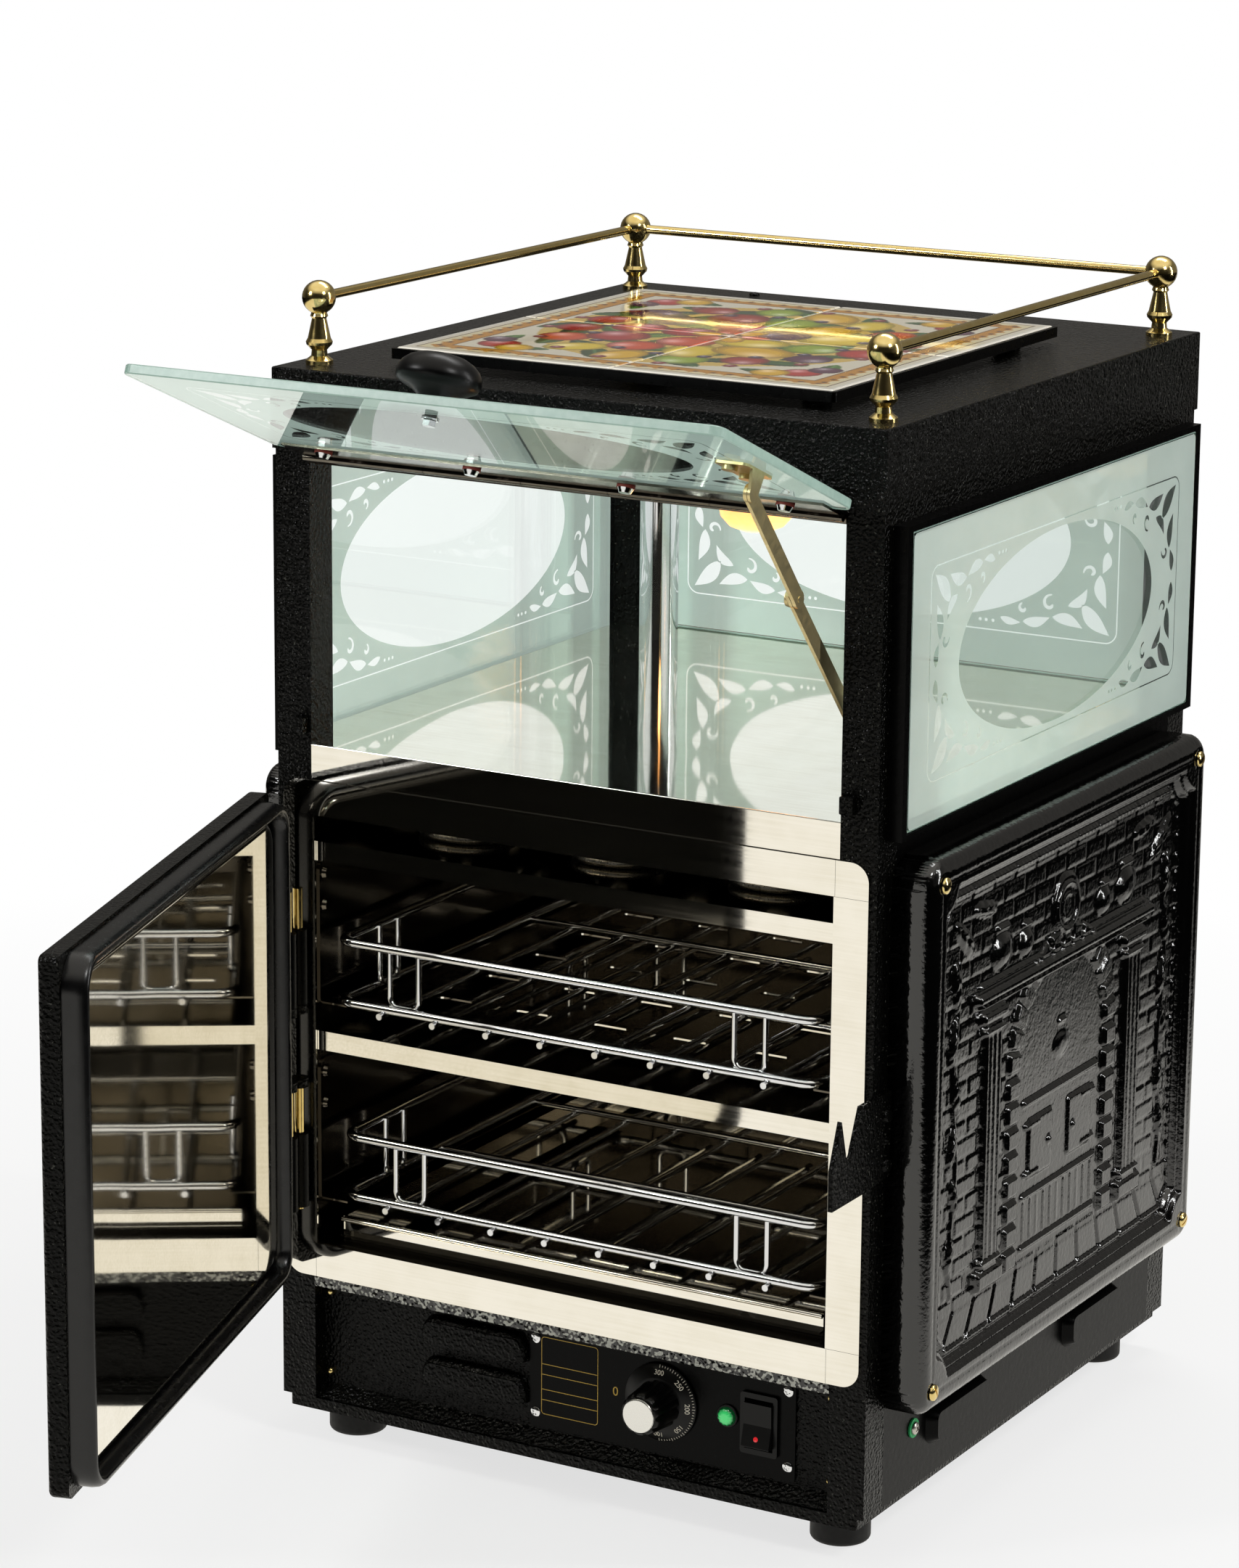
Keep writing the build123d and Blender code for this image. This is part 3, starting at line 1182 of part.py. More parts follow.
with BuildPart() as stay_upper:
    link = (knee - p1)
    run = Plane(origin=(up_x0, p1.Y, p1.Z), x_dir=link.normalized(), z_dir=(1, 0, 0))
    with BuildSketch(run):
        with Locations((link.length / 2, 0)):
            Rectangle(link.length, link_w)
        with Locations((0, 0), (link.length, 0)):
            Circle(eye_r)
        with Locations((0, 0)):
            Circle(rivet_r + pin_play, mode=Mode.SUBTRACT)
    extrude(amount=link_t)
    # knee rivet, fixed in this link, with a head on each side
    with BuildSketch(Plane.YZ.offset(low_x0 - joint_gap - 1.6)):
        with Locations((knee.Y, knee.Z)):
            Circle(rivet_r)
    extrude(amount=link_t * 2 + 3 * joint_gap + 1.6)
    with BuildSketch(Plane.YZ.offset(low_x0 - joint_gap)):
        with Locations((knee.Y, knee.Z)):
            Circle(eye_r)
    extrude(amount=-2.6, taper=12)

with BuildPart() as stay_lower:
    link = (p2 - knee)
    run = Plane(origin=(low_x0, knee.Y, knee.Z), x_dir=link.normalized(), z_dir=(1, 0, 0))
    with BuildSketch(run):
        with Locations((link.length / 2, 0)):
            Rectangle(link.length, link_w)
        with Locations((0, 0), (link.length, 0)):
            Circle(eye_r)
        with Locations((-link_tail / 2, 0)):
            Rectangle(link_tail, link_w)
        with Locations((0, 0)):
            Circle(rivet_r + pin_play, mode=Mode.SUBTRACT)
        with Locations((link.length, 0)):
            Circle(2.4, mode=Mode.SUBTRACT)
    extrude(amount=link_t)

with BuildPart() as stay_anchor:
    with BuildSketch(Plane.YZ.offset(in_x)):
        with Locations((y_front + p2_y - 8, p2.Z - 2)):
            RectangleRounded(20, 26, 3)
        with Locations((p2.Y, p2.Z)):
            Circle(5)
    extrude(amount=-2)
    with BuildSketch(Plane.YZ.offset(in_x - 2)):
        with Locations((p2.Y, p2.Z)):
            Circle(2.2)
    extrude(amount=-(in_x - 2 - (low_x0 + link_t + joint_gap)))

with BuildPart() as rest_clips:
    for sx in (-1, 1):
        with BuildSketch(front):
            with Locations((sx * (in_x + 6.5), deck_z + 13.5)):
                RectangleRounded(9, 11, 1)
        extrude(amount=flap_out + glass_n - 0.4)

# ================= labels and files =================
nodes = {
    "base_tray": base_tray, "feet": feet, "corner_posts": corner_posts, "side_walls": side_walls,
    "back_wall": back_wall, "inlet_gland": inlet_gland, "top_frame": top_frame, "roof_cap": roof_cap,
    "gallery_posts": gallery_posts, "gallery_rods": gallery_rods, "tile_tray": tile_tray, "tiles": tiles,
    "side_frames": side_frames, "side_panes": side_panes, "rear_pane": rear_pane, "deck": deck,
    "flue_tube": flue_tube, "display_lamp": display_lamp, "face_frame": face_frame,
    "oven_liner": oven_liner, "baffles": baffles, "basket_runners": basket_runners, "basket_upper": basket_upper,
    "basket_lower": basket_lower, "crumb_tray": crumb_tray, "heating_elements": heating_elements,
    "insulation": insulation, "cast_panels": cast_panels, "panel_screws": panel_screws,
    "control_cover": control_cover, "control_plate": control_plate, "cover_fixings": cover_fixings,
    "thermostat": thermostat, "thermostat_knob": thermostat_knob, "knob_cap": knob_cap,
    "pilot_lamp": pilot_lamp, "switch_housing": switch_housing, "rocker": rocker,
    "terminal_block": terminal_block, "earth_screw": earth_screw, "catch_plate": catch_plate, "hinge_mounts": hinge_mounts,
    "hinge_pins": hinge_pins, "door_shell": door_shell, "door_seal": door_seal, "door_pan": door_pan,
    "door_arms": door_arms, "latch_plate": latch_plate, "latch_lever": latch_lever,
    "flap_glass": flap_glass, "flap_strip": flap_strip, "flap_leaf_fixed": flap_leaf_fixed,
    "flap_fixings": flap_fixings, "flap_washers": flap_washers, "flap_knob": flap_knob,
    "stay_bracket": stay_bracket, "stay_upper": stay_upper, "stay_lower": stay_lower,
    "stay_anchor": stay_anchor, "rest_clips": rest_clips,
}
for name, node in nodes.items():
    node.part.label = name
    export_step(node.part, f"parts/{name}.step")
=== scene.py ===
import bpy
import bmesh
import json
import math
import numpy as np
from mathutils import Matrix, Vector


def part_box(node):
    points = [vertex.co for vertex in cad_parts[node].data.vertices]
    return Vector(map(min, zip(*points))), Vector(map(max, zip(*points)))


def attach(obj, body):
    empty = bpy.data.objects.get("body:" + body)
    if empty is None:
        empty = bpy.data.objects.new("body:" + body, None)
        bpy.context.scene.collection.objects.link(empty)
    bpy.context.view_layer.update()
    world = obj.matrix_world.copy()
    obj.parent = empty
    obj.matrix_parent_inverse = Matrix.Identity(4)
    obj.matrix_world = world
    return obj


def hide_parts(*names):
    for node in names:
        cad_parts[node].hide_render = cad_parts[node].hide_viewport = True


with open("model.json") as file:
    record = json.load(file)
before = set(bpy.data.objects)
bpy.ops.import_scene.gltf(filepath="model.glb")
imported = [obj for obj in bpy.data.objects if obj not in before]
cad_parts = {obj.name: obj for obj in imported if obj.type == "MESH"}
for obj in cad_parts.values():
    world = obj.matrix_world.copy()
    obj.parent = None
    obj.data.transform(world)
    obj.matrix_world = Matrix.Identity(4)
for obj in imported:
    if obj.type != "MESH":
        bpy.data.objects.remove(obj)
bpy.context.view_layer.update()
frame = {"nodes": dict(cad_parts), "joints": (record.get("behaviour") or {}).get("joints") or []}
nodes = frame["nodes"]
joints = {j["name"]: j for j in frame["joints"]}
mm = 0.001
print("stage: frame loaded,", len(nodes), "nodes")


# small helpers
def hexToLinear(text, alpha=1.0):
    values = [int(text[i:i + 2], 16) / 255 for i in (1, 3, 5)]
    return [v / 12.92 if v <= 0.04045 else ((v + 0.055) / 1.055) ** 2.4 for v in values] + [alpha]


def addNode(tree, kind, inputs=None, **settings):
    node = tree.nodes.new(kind)
    for key, value in settings.items():
        setattr(node, key, value)
    for key, value in (inputs or {}).items():
        if isinstance(value, bpy.types.NodeSocket):
            tree.links.new(value, node.inputs[key])
        else:
            node.inputs[key].default_value = value
    return node


def addMesh(name, points, faces, smooth=True):
    mesh = bpy.data.meshes.new(name)
    mesh.from_pydata([tuple(p) for p in points], [], faces)
    mesh.validate()
    mesh.update()
    if smooth:
        mesh.polygons.foreach_set("use_smooth", [True] * len(mesh.polygons))
    piece = bpy.data.objects.new(name, mesh)
    bpy.context.scene.collection.objects.link(piece)
    return piece


def fixNormals(piece):
    work = bmesh.new()
    work.from_mesh(piece.data)
    bmesh.ops.remove_doubles(work, verts=work.verts, dist=1e-6)
    bmesh.ops.recalc_face_normals(work, faces=work.faces)
    work.to_mesh(piece.data)
    work.free()
    return piece


def sharpen(piece, degrees=35):
    # smooth faces with hard creases kept crisp
    work = bmesh.new()
    work.from_mesh(piece.data)
    limit = math.radians(degrees)
    for edge in work.edges:
        edge.smooth = len(edge.link_faces) == 2 and edge.calc_face_angle(0) < limit
    for face in work.faces:
        face.smooth = True
    work.to_mesh(piece.data)
    work.free()
    return piece


def finishPiece(piece, body, material=None, replaces=()):
    if material is not None:
        piece.data.materials.clear()
        piece.data.materials.append(material)
    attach(piece, body)
    if replaces:
        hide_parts(*replaces)
    return piece


def plainCopy(piece):
    # the evaluated result as a plain mesh, with the modifiers gone
    bpy.context.view_layer.update()
    graph = bpy.context.evaluated_depsgraph_get()
    mesh = bpy.data.meshes.new_from_object(piece.evaluated_get(graph))
    copy = bpy.data.objects.new(piece.name + "Mesh", mesh)
    mesh.transform(piece.matrix_world)
    bpy.context.scene.collection.objects.link(copy)
    name = piece.name
    bpy.data.objects.remove(piece)
    copy.name = name
    return copy


def axesAt(origin, xDir, yDir):
    x, y = Vector(xDir).normalized(), Vector(yDir).normalized()
    z = x.cross(y)
    return Matrix(((x.x, y.x, z.x, origin[0]), (x.y, y.y, z.y, origin[1]), (x.z, y.z, z.z, origin[2]), (0, 0, 0, 1)))


def revolve(name, profile, place, steps=48, closed=False):
    # profile of (radius, height) in millimetres, turned about the local z of place
    points, faces = [], []
    for radius, height in profile:
        for i in range(steps):
            a = 2 * math.pi * i / steps
            points.append(place @ Vector((radius * mm * math.cos(a), radius * mm * math.sin(a), height * mm)))
    for j in range(len(profile) - 1):
        for i in range(steps):
            k = (i + 1) % steps
            faces.append((j * steps + i, j * steps + k, (j + 1) * steps + k, (j + 1) * steps + i))
    if closed:
        last = (len(profile) - 1) * steps
        faces += [tuple(reversed(range(steps))), tuple(range(last, last + steps))]
    return sharpen(fixNormals(addMesh(name, points, faces)))


def roundedLoop(width, height, radius, steps=8):
    loop = []
    for cx, cy, start in ((1, 1, 0), (-1, 1, 90), (-1, -1, 180), (1, -1, 270)):
        for i in range(steps + 1):
            a = math.radians(start + 90 * i / steps)
            loop.append((cx * (width / 2 - radius) + radius * math.cos(a), cy * (height / 2 - radius) + radius * math.sin(a)))
    return loop


def prism(name, loop, thick, place, edge=0.0):
    # a plate with the outline loop, its far rim bevelled by edge (millimetres)
    count = len(loop)
    centre = np.mean(np.array(loop), axis=0)
    inner = []
    for i, (x, y) in enumerate(loop):
        ax, ay = loop[i - 1]
        bx, by = loop[(i + 1) % count]
        tx, ty = bx - ax, by - ay
        length = math.hypot(tx, ty) or 1
        nx, ny = ty / length, -tx / length
        if (x - centre[0]) * nx + (y - centre[1]) * ny < 0:
            nx, ny = -nx, -ny
        inner.append((x - nx * edge, y - ny * edge))
    levels = [(inner, 0.0), (loop, edge), (loop, thick - edge), (inner, thick)] if edge else [(loop, 0.0), (loop, thick)]
    points = [place @ Vector((x * mm, y * mm, z * mm)) for ring, z in levels for x, y in ring]
    faces = [tuple(reversed(range(count))), tuple(range((len(levels) - 1) * count, len(levels) * count))]
    for j in range(len(levels) - 1):
        for i in range(count):
            k = (i + 1) % count
            faces.append((j * count + i, j * count + k, (j + 1) * count + k, (j + 1) * count + i))
    return fixNormals(addMesh(name, points, faces, smooth=False))


def join(name, pieces):
    meshes = []
    work = bmesh.new()
    for piece in pieces:
        work.from_mesh(piece.data)
        meshes.append(piece)
    mesh = bpy.data.meshes.new(name)
    work.to_mesh(mesh)
    work.free()
    whole = bpy.data.objects.new(name, mesh)
    bpy.context.scene.collection.objects.link(whole)
    for piece in meshes:
        bpy.data.objects.remove(piece)
    return whole


# camera, from the cabinet's edges in the photograph
cameraView = {"place": (1.4604, -2.50910, 1.1781), "yaw": 0.522200, "pitch": 0.243087, "roll": 0.0086643, "lens": 111.58}


def makeCamera():
    c, s = math.cos(cameraView["yaw"]), math.sin(cameraView["yaw"])
    turn = Matrix(((c, s, 0), (-s, c, 0), (0, 0, 1)))
    base = Matrix(((1, 0, 0), (0, 0, -1), (0, 1, 0)))
    c, s = math.cos(cameraView["pitch"]), math.sin(cameraView["pitch"])
    tip = Matrix(((1, 0, 0), (0, c, -s), (0, s, c)))
    c, s = math.cos(cameraView["roll"]), math.sin(cameraView["roll"])
    roll = Matrix(((c, -s, 0), (s, c, 0), (0, 0, 1)))
    rows = roll @ tip @ base @ turn
    data = bpy.data.cameras.new("camera")
    data.lens, data.sensor_width, data.sensor_fit = cameraView["lens"], 36, "AUTO"
    data.clip_end = 50
    camera = bpy.data.objects.new("camera", data)
    m = Matrix.Identity(4)
    for i in range(3):
        m[i][0], m[i][1], m[i][2], m[i][3] = rows[0][i], -rows[1][i], -rows[2][i], cameraView["place"][i]
    camera.matrix_world = m
    bpy.context.scene.collection.objects.link(camera)
    bpy.context.scene.camera = camera


makeCamera()
print("stage: camera")


# materials
def startMaterial(name, colour, rough, metallic=0.0, **more):
    material = bpy.data.materials.new(name)
    material.use_nodes = True
    tree = material.node_tree
    tree.nodes.clear()
    shader = addNode(tree, "ShaderNodeBsdfPrincipled", {"Base Color": hexToLinear(colour), "Roughness": rough, "Metallic": metallic})
    for key, value in more.items():
        shader.inputs[key.replace("_", " ")].default_value = value
    addNode(tree, "ShaderNodeOutputMaterial", {"Surface": shader.outputs[0]})
    where = addNode(tree, "ShaderNodeTexCoord").outputs["Object"]
    return material, tree, shader, where


def perMetre(size):
    # noise scale that gives features of the given size in millimetres
    return 1 / (size * mm)


def roughBetween(tree, shader, source, low, high):
    ramp = addNode(tree, "ShaderNodeMapRange", {"Value": source, "To Min": low, "To Max": high})
    tree.links.new(ramp.outputs["Result"], shader.inputs["Roughness"])


def bumpFrom(tree, shader, source, strength, distance):
    bump = addNode(tree, "ShaderNodeBump", {"Height": source, "Strength": strength, "Distance": distance * mm})
    tree.links.new(bump.outputs["Normal"], shader.inputs["Normal"])
    return bump


def mixColours(tree, source, first, second):
    mix = addNode(tree, "ShaderNodeMix", data_type="RGBA")
    tree.links.new(source, mix.inputs[0])
    mix.inputs[6].default_value, mix.inputs[7].default_value = hexToLinear(first), hexToLinear(second)
    return mix.outputs[2]


def paintedGlints(tree, where, size, floorLevel, bright):
    # painted highlights: sparse pinpoint glints at the peaks of a fine noise, laid into the base colour
    speck = addNode(tree, "ShaderNodeTexNoise", {"Vector": where, "Scale": perMetre(size), "Detail": 0.0})
    peak = addNode(tree, "ShaderNodeMapRange", {"Value": speck.outputs[0], "From Min": floorLevel, "From Max": floorLevel + 0.06})
    return mixColours(tree, peak.outputs[0], "#040403", bright)


def texturedPowderCoat():
    # oven-cured polyester powder, pebbled: deep black with a painted highlight, a pale grey pinpoint, on some pebbles
    # (drawn at 2 mm so that it shows)
    material, tree, shader, where = startMaterial("texturedPowderCoat", "#020202", 0.3, Specular_IOR_Level=0.1)
    cells = addNode(tree, "ShaderNodeTexVoronoi", {"Vector": where, "Scale": perMetre(2.4), "Smoothness": 0.5}, feature="SMOOTH_F1")
    grain = addNode(tree, "ShaderNodeTexNoise", {"Vector": where, "Scale": perMetre(1.7), "Detail": 2.0})
    both = addNode(tree, "ShaderNodeMath", {0: cells.outputs["Distance"], 1: grain.outputs[0]}, operation="ADD")
    bumpFrom(tree, shader, both.outputs[0], 1.0, 0.7)
    roughBetween(tree, shader, grain.outputs[0], 0.12, 0.26)
    # painted pinpoint highlights laid into the base colour
    tree.links.new(paintedGlints(tree, where, 1.6, 0.76, "#3a3a35"), shader.inputs["Base Color"])
    return material


def hammeredCoat():
    # the same powder laid on thick and left to craze like leather, on the lip under the oven frame: about half of it
    # carries a painted highlight in pale grey
    material, tree, shader, where = startMaterial("crazedPowderLip", "#050504", 0.14, Specular_IOR_Level=0.7)
    cells = addNode(tree, "ShaderNodeTexVoronoi", {"Vector": where, "Scale": perMetre(2.6)}, feature="SMOOTH_F1")
    bumpFrom(tree, shader, cells.outputs["Distance"], 1.0, 1.5)
    # painted highlights in pale grey laid into the base colour
    tree.links.new(paintedGlints(tree, where, 2.2, 0.53, "#b9b9ae"), shader.inputs["Base Color"])
    return material


def satinBlackPaint():
    # stoved satin enamel on flat sheet: soft reflections, slight orange peel
    material, tree, shader, where = startMaterial("satinBlackPaint", "#020202", 0.28, Specular_IOR_Level=0.08)
    peel = addNode(tree, "ShaderNodeTexNoise", {"Vector": where, "Scale": perMetre(4.0), "Detail": 2.0})
    bumpFrom(tree, shader, peel.outputs[0], 0.3, 0.35)
    roughBetween(tree, shader, peel.outputs[0], 0.22, 0.36)
    return material


def glossCastEnamel():
    # black stove enamel over a sand casting: wet gloss broken by the sand's grain
    material, tree, shader, where = startMaterial("glossCastEnamel", "#030303", 0.1, Specular_IOR_Level=0.8)
    sand = addNode(tree, "ShaderNodeTexNoise", {"Vector": where, "Scale": perMetre(3.0), "Detail": 2.0})
    flow = addNode(tree, "ShaderNodeTexNoise", {"Vector": where, "Scale": perMetre(14), "Detail": 2.0})
    both = addNode(tree, "ShaderNodeMath", {0: sand.outputs[0], 1: flow.outputs[0]}, operation="ADD")
    bumpFrom(tree, shader, both.outputs[0], 0.35, 0.7)
    roughBetween(tree, shader, sand.outputs[0], 0.05, 0.16)
    return material


def mirrorStainless():
    # bright-annealed stainless sheet: warm mirror with faint polishing lines, finger smears and a slow roll in the sheet
    material, tree, shader, where = startMaterial("mirrorStainless", "#eeeadc", 0.05, 1.0)
    stretch = addNode(tree, "ShaderNodeMapping", {"Vector": where, "Scale": (0.03, 1.0, 1.0)})
    lines = addNode(tree, "ShaderNodeTexNoise", {"Vector": stretch.outputs[0], "Scale": perMetre(2.0), "Detail": 3.0})
    smear = addNode(tree, "ShaderNodeTexNoise", {"Vector": where, "Scale": perMetre(26), "Detail": 3.0})
    streak = addNode(tree, "ShaderNodeMath", {0: smear.outputs[0], 1: lines.outputs[0]}, operation="MULTIPLY")
    tone = addNode(tree, "ShaderNodeMapRange", {"Value": streak.outputs[0], "From Min": 0.14, "From Max": 0.5})
    tree.links.new(mixColours(tree, tone.outputs[0], "#f4f0e6", "#e9e4d6"), shader.inputs["Base Color"])
    roll = addNode(tree, "ShaderNodeTexNoise", {"Vector": where, "Scale": perMetre(110), "Detail": 1.0})
    roughBetween(tree, shader, lines.outputs[0], 0.015, 0.075)
    bumpFrom(tree, shader, roll.outputs[0], 0.2, 1.0)
    return material


def darkMirror():
    # blued bright steel of the hinge leaf: the same mirror, much darker
    material, tree, shader, where = startMaterial("bluedBrightSteel", "#6f6a61", 0.08, 1.0)
    wear = addNode(tree, "ShaderNodeTexNoise", {"Vector": where, "Scale": perMetre(9), "Detail": 3.0})
    tree.links.new(mixColours(tree, wear.outputs[0], "#7d776c", "#4d4942"), shader.inputs["Base Color"])
    roughBetween(tree, shader, wear.outputs[0], 0.05, 0.18)
    return material


def ovenStainless():
    # the same sheet after many bakes: straw-brown heat tint in cloudy patches
    material, tree, shader, where = startMaterial("heatTintedStainless", "#8d877c", 0.12, 1.0)
    cloud = addNode(tree, "ShaderNodeTexNoise", {"Vector": where, "Scale": perMetre(70), "Detail": 4.0})
    tree.links.new(mixColours(tree, cloud.outputs[0], "#7a7468", "#463f36"), shader.inputs["Base Color"])
    roughBetween(tree, shader, cloud.outputs[0], 0.06, 0.2)
    bumpFrom(tree, shader, cloud.outputs[0], 0.3, 1.0)
    return material


def brightChrome():
    # bright nickel-chrome plate: clean cold mirror with hairline wear
    material, tree, shader, where = startMaterial("brightChromePlate", "#dfe0e2", 0.05, 1.0)
    wear = addNode(tree, "ShaderNodeTexNoise", {"Vector": where, "Scale": perMetre(2.5), "Detail": 3.0})
    roughBetween(tree, shader, wear.outputs[0], 0.03, 0.14)
    return material


def satinSteel():
    # plain zinc-bright steel fasteners, faintly tumbled
    material, tree, shader, where = startMaterial("zincBrightSteel", "#b9b6ae", 0.28, 1.0)
    wear = addNode(tree, "ShaderNodeTexNoise", {"Vector": where, "Scale": perMetre(1.4), "Detail": 2.0})
    roughBetween(tree, shader, wear.outputs[0], 0.18, 0.4)
    return material


def polishedBrass():
    # turned, polished and lacquered brass: deep yellow mirror, a little warmer where lacquer is thick
    material, tree, shader, where = startMaterial("polishedBrass", "#d8c07c", 0.1, 1.0)
    cloud = addNode(tree, "ShaderNodeTexNoise", {"Vector": where, "Scale": perMetre(6), "Detail": 2.0})
    tree.links.new(mixColours(tree, cloud.outputs[0], "#ecd99c", "#cfb268"), shader.inputs["Base Color"])
    roughBetween(tree, shader, cloud.outputs[0], 0.08, 0.22)
    return material


def rolledBrass():
    # flat rolled brass of the stay: the same alloy, scuffed to a pale sheen
    material, tree, shader, where = startMaterial("rolledBrass", "#dccb92", 0.34, 1.0)
    scuff = addNode(tree, "ShaderNodeTexNoise", {"Vector": where, "Scale": perMetre(5), "Detail": 3.0})
    tree.links.new(mixColours(tree, scuff.outputs[0], "#f0e3b4", "#cdb67a"), shader.inputs["Base Color"])
    roughBetween(tree, shader, scuff.outputs[0], 0.26, 0.46)
    return material


def blackRubber():
    # moulded nitrile: matt with a dusty sheen
    material, tree, shader, where = startMaterial("blackRubber", "#0b0b0b", 0.5, Specular_IOR_Level=0.3)
    dust = addNode(tree, "ShaderNodeTexNoise", {"Vector": where, "Scale": perMetre(4), "Detail": 4.0})
    roughBetween(tree, shader, dust.outputs[0], 0.5, 0.75)
    bumpFrom(tree, shader, dust.outputs[0], 0.15, 0.15)
    return material


def siliconeSeal():
    # extruded black silicone: smooth and slightly oily
    material, tree, shader, where = startMaterial("siliconeSeal", "#050506", 0.2, Specular_IOR_Level=0.45)
    skin = addNode(tree, "ShaderNodeTexNoise", {"Vector": where, "Scale": perMetre(8), "Detail": 2.0})
    roughBetween(tree, shader, skin.outputs[0], 0.18, 0.34)
    return material


def phenolicBlack():
    # compression-moulded phenolic: deep black, soft gloss with moulding haze
    material, tree, shader, where = startMaterial("blackPhenolic", "#020202", 0.24, Specular_IOR_Level=0.22)
    haze = addNode(tree, "ShaderNodeTexNoise", {"Vector": where, "Scale": perMetre(9), "Detail": 3.0})
    roughBetween(tree, shader, haze.outputs[0], 0.26, 0.4)
    return material


def redFibre():
    # vulcanised fibre washers: dull brick red
    material, tree, shader, where = startMaterial("redFibre", "#7d2a1d", 0.7)
    fibres = addNode(tree, "ShaderNodeTexNoise", {"Vector": where, "Scale": perMetre(0.9), "Detail": 3.0})
    tree.links.new(mixColours(tree, fibres.outputs[0], "#8f3324", "#5d1d14"), shader.inputs["Base Color"])
    return material


def lensPlastic(name, dark, light, glow):
    # dyed polycarbonate lens lit from behind: its colour, which also glows, is painted bright where its face is square
    # on to the front and darker towards the rim as painted shade
    material, tree, shader, where = startMaterial(name, light, 0.12, Coat_Weight=0.6)
    facing = addNode(tree, "ShaderNodeVectorMath", {0: addNode(tree, "ShaderNodeNewGeometry").outputs["Normal"], 1: (0, -1, 0)}, operation="DOT_PRODUCT")
    ribs = addNode(tree, "ShaderNodeTexWave", {"Vector": where, "Scale": perMetre(12), "Distortion": 1.5})
    share = addNode(tree, "ShaderNodeMapRange", {"Value": facing.outputs["Value"], "From Min": 0.55, "From Max": 0.99})
    shade = mixColours(tree, share.outputs[0], dark, light)
    tree.links.new(shade, shader.inputs["Base Color"])
    tree.links.new(shade, shader.inputs["Emission Color"])
    bumpFrom(tree, shader, ribs.outputs[0], 0.15, 0.2)
    shader.inputs["Emission Strength"].default_value = glow
    return material


def clearGlass():
    # clear float glass, faintly green; shadows pass through it as they do through a real pane
    material, tree, shader, where = startMaterial("clearFloatGlass", "#f4faf7", 0.0, Transmission_Weight=1.0, IOR=1.5)
    smear = addNode(tree, "ShaderNodeTexNoise", {"Vector": where, "Scale": perMetre(60), "Detail": 3.0})
    roughBetween(tree, shader, smear.outputs[0], 0.0, 0.025)
    clear = addNode(tree, "ShaderNodeBsdfTransparent", {"Color": hexToLinear("#eef7f3")})
    light = addNode(tree, "ShaderNodeLightPath")
    mix = addNode(tree, "ShaderNodeMixShader", {0: light.outputs["Is Shadow Ray"], 1: shader.outputs[0], 2: clear.outputs[0]})
    tree.links.new(mix.outputs[0], tree.nodes["Material Output"].inputs["Surface"])
    return material


def groundGlassEdge():
    # the pane's arrised edge: pale green where the light runs through the sheet
    material, tree, shader, where = startMaterial("groundGlassEdge", "#b7d8cb", 0.35, Transmission_Weight=0.25)
    rub = addNode(tree, "ShaderNodeTexNoise", {"Vector": where, "Scale": perMetre(5), "Detail": 2.0})
    tree.links.new(mixColours(tree, rub.outputs[0], "#b9cfc4", "#8fb0a3"), shader.inputs["Base Color"])
    return material


def etchedFrost():
    # acid-etched surface: milky and faintly green; near a third of what is behind still shows through
    material, tree, shader, where = startMaterial("acidEtchedFrost", "#dfe9e4", 0.6, Specular_IOR_Level=0.3)
    cloud = addNode(tree, "ShaderNodeTexNoise", {"Vector": where, "Scale": perMetre(30), "Detail": 3.0})
    milk = mixColours(tree, cloud.outputs[0], "#e3ece8", "#d3dfda")
    tree.links.new(milk, shader.inputs["Base Color"])
    through = addNode(tree, "ShaderNodeBsdfTranslucent", {"Color": milk})
    body = addNode(tree, "ShaderNodeMixShader", {0: 0.5, 1: shader.outputs[0], 2: through.outputs[0]})
    clear = addNode(tree, "ShaderNodeBsdfTransparent", {"Color": hexToLinear("#f3f8f6")})
    light = addNode(tree, "ShaderNodeLightPath")
    share = addNode(tree, "ShaderNodeMapRange", {"Value": light.outputs["Is Shadow Ray"], "To Min": 0.4, "To Max": 0.8})
    mix = addNode(tree, "ShaderNodeMixShader", {0: share.outputs[0], 1: body.outputs[0], 2: clear.outputs[0]})
    tree.links.new(mix.outputs[0], tree.nodes["Material Output"].inputs["Surface"])
    return material


def glazedPicture():
    # transfer picture fired under a clear glaze: colour from the tile's own paint, wet gloss with fine ripples
    material, tree, shader, where = startMaterial("glazedTile", "#efe6d2", 0.07, Coat_Weight=0.5, Coat_Roughness=0.03)
    paint = addNode(tree, "ShaderNodeAttribute", attribute_name="tilePaint")
    tree.links.new(paint.outputs["Color"], shader.inputs["Base Color"])
    ripple = addNode(tree, "ShaderNodeTexNoise", {"Vector": where, "Scale": perMetre(22), "Detail": 2.0})
    bumpFrom(tree, shader, ripple.outputs[0], 0.2, 0.5)
    return material


def printInk(name, colour):
    # screen-printed ink, slightly raised and matt
    material, tree, shader, where = startMaterial(name, colour, 0.55)
    worn = addNode(tree, "ShaderNodeTexNoise", {"Vector": where, "Scale": perMetre(1.2), "Detail": 3.0})
    roughBetween(tree, shader, worn.outputs[0], 0.4, 0.7)
    return material


def spunCap():
    # spun aluminium knob cap: fine rings that fan the highlight
    material, tree, shader, where = startMaterial("spunAluminium", "#e4e3df", 0.3, 1.0, Anisotropic=0.7)
    rings = addNode(tree, "ShaderNodeTexNoise", {"Vector": where, "Scale": perMetre(0.8), "Detail": 2.0})
    roughBetween(tree, shader, rings.outputs[0], 0.2, 0.36)
    return material


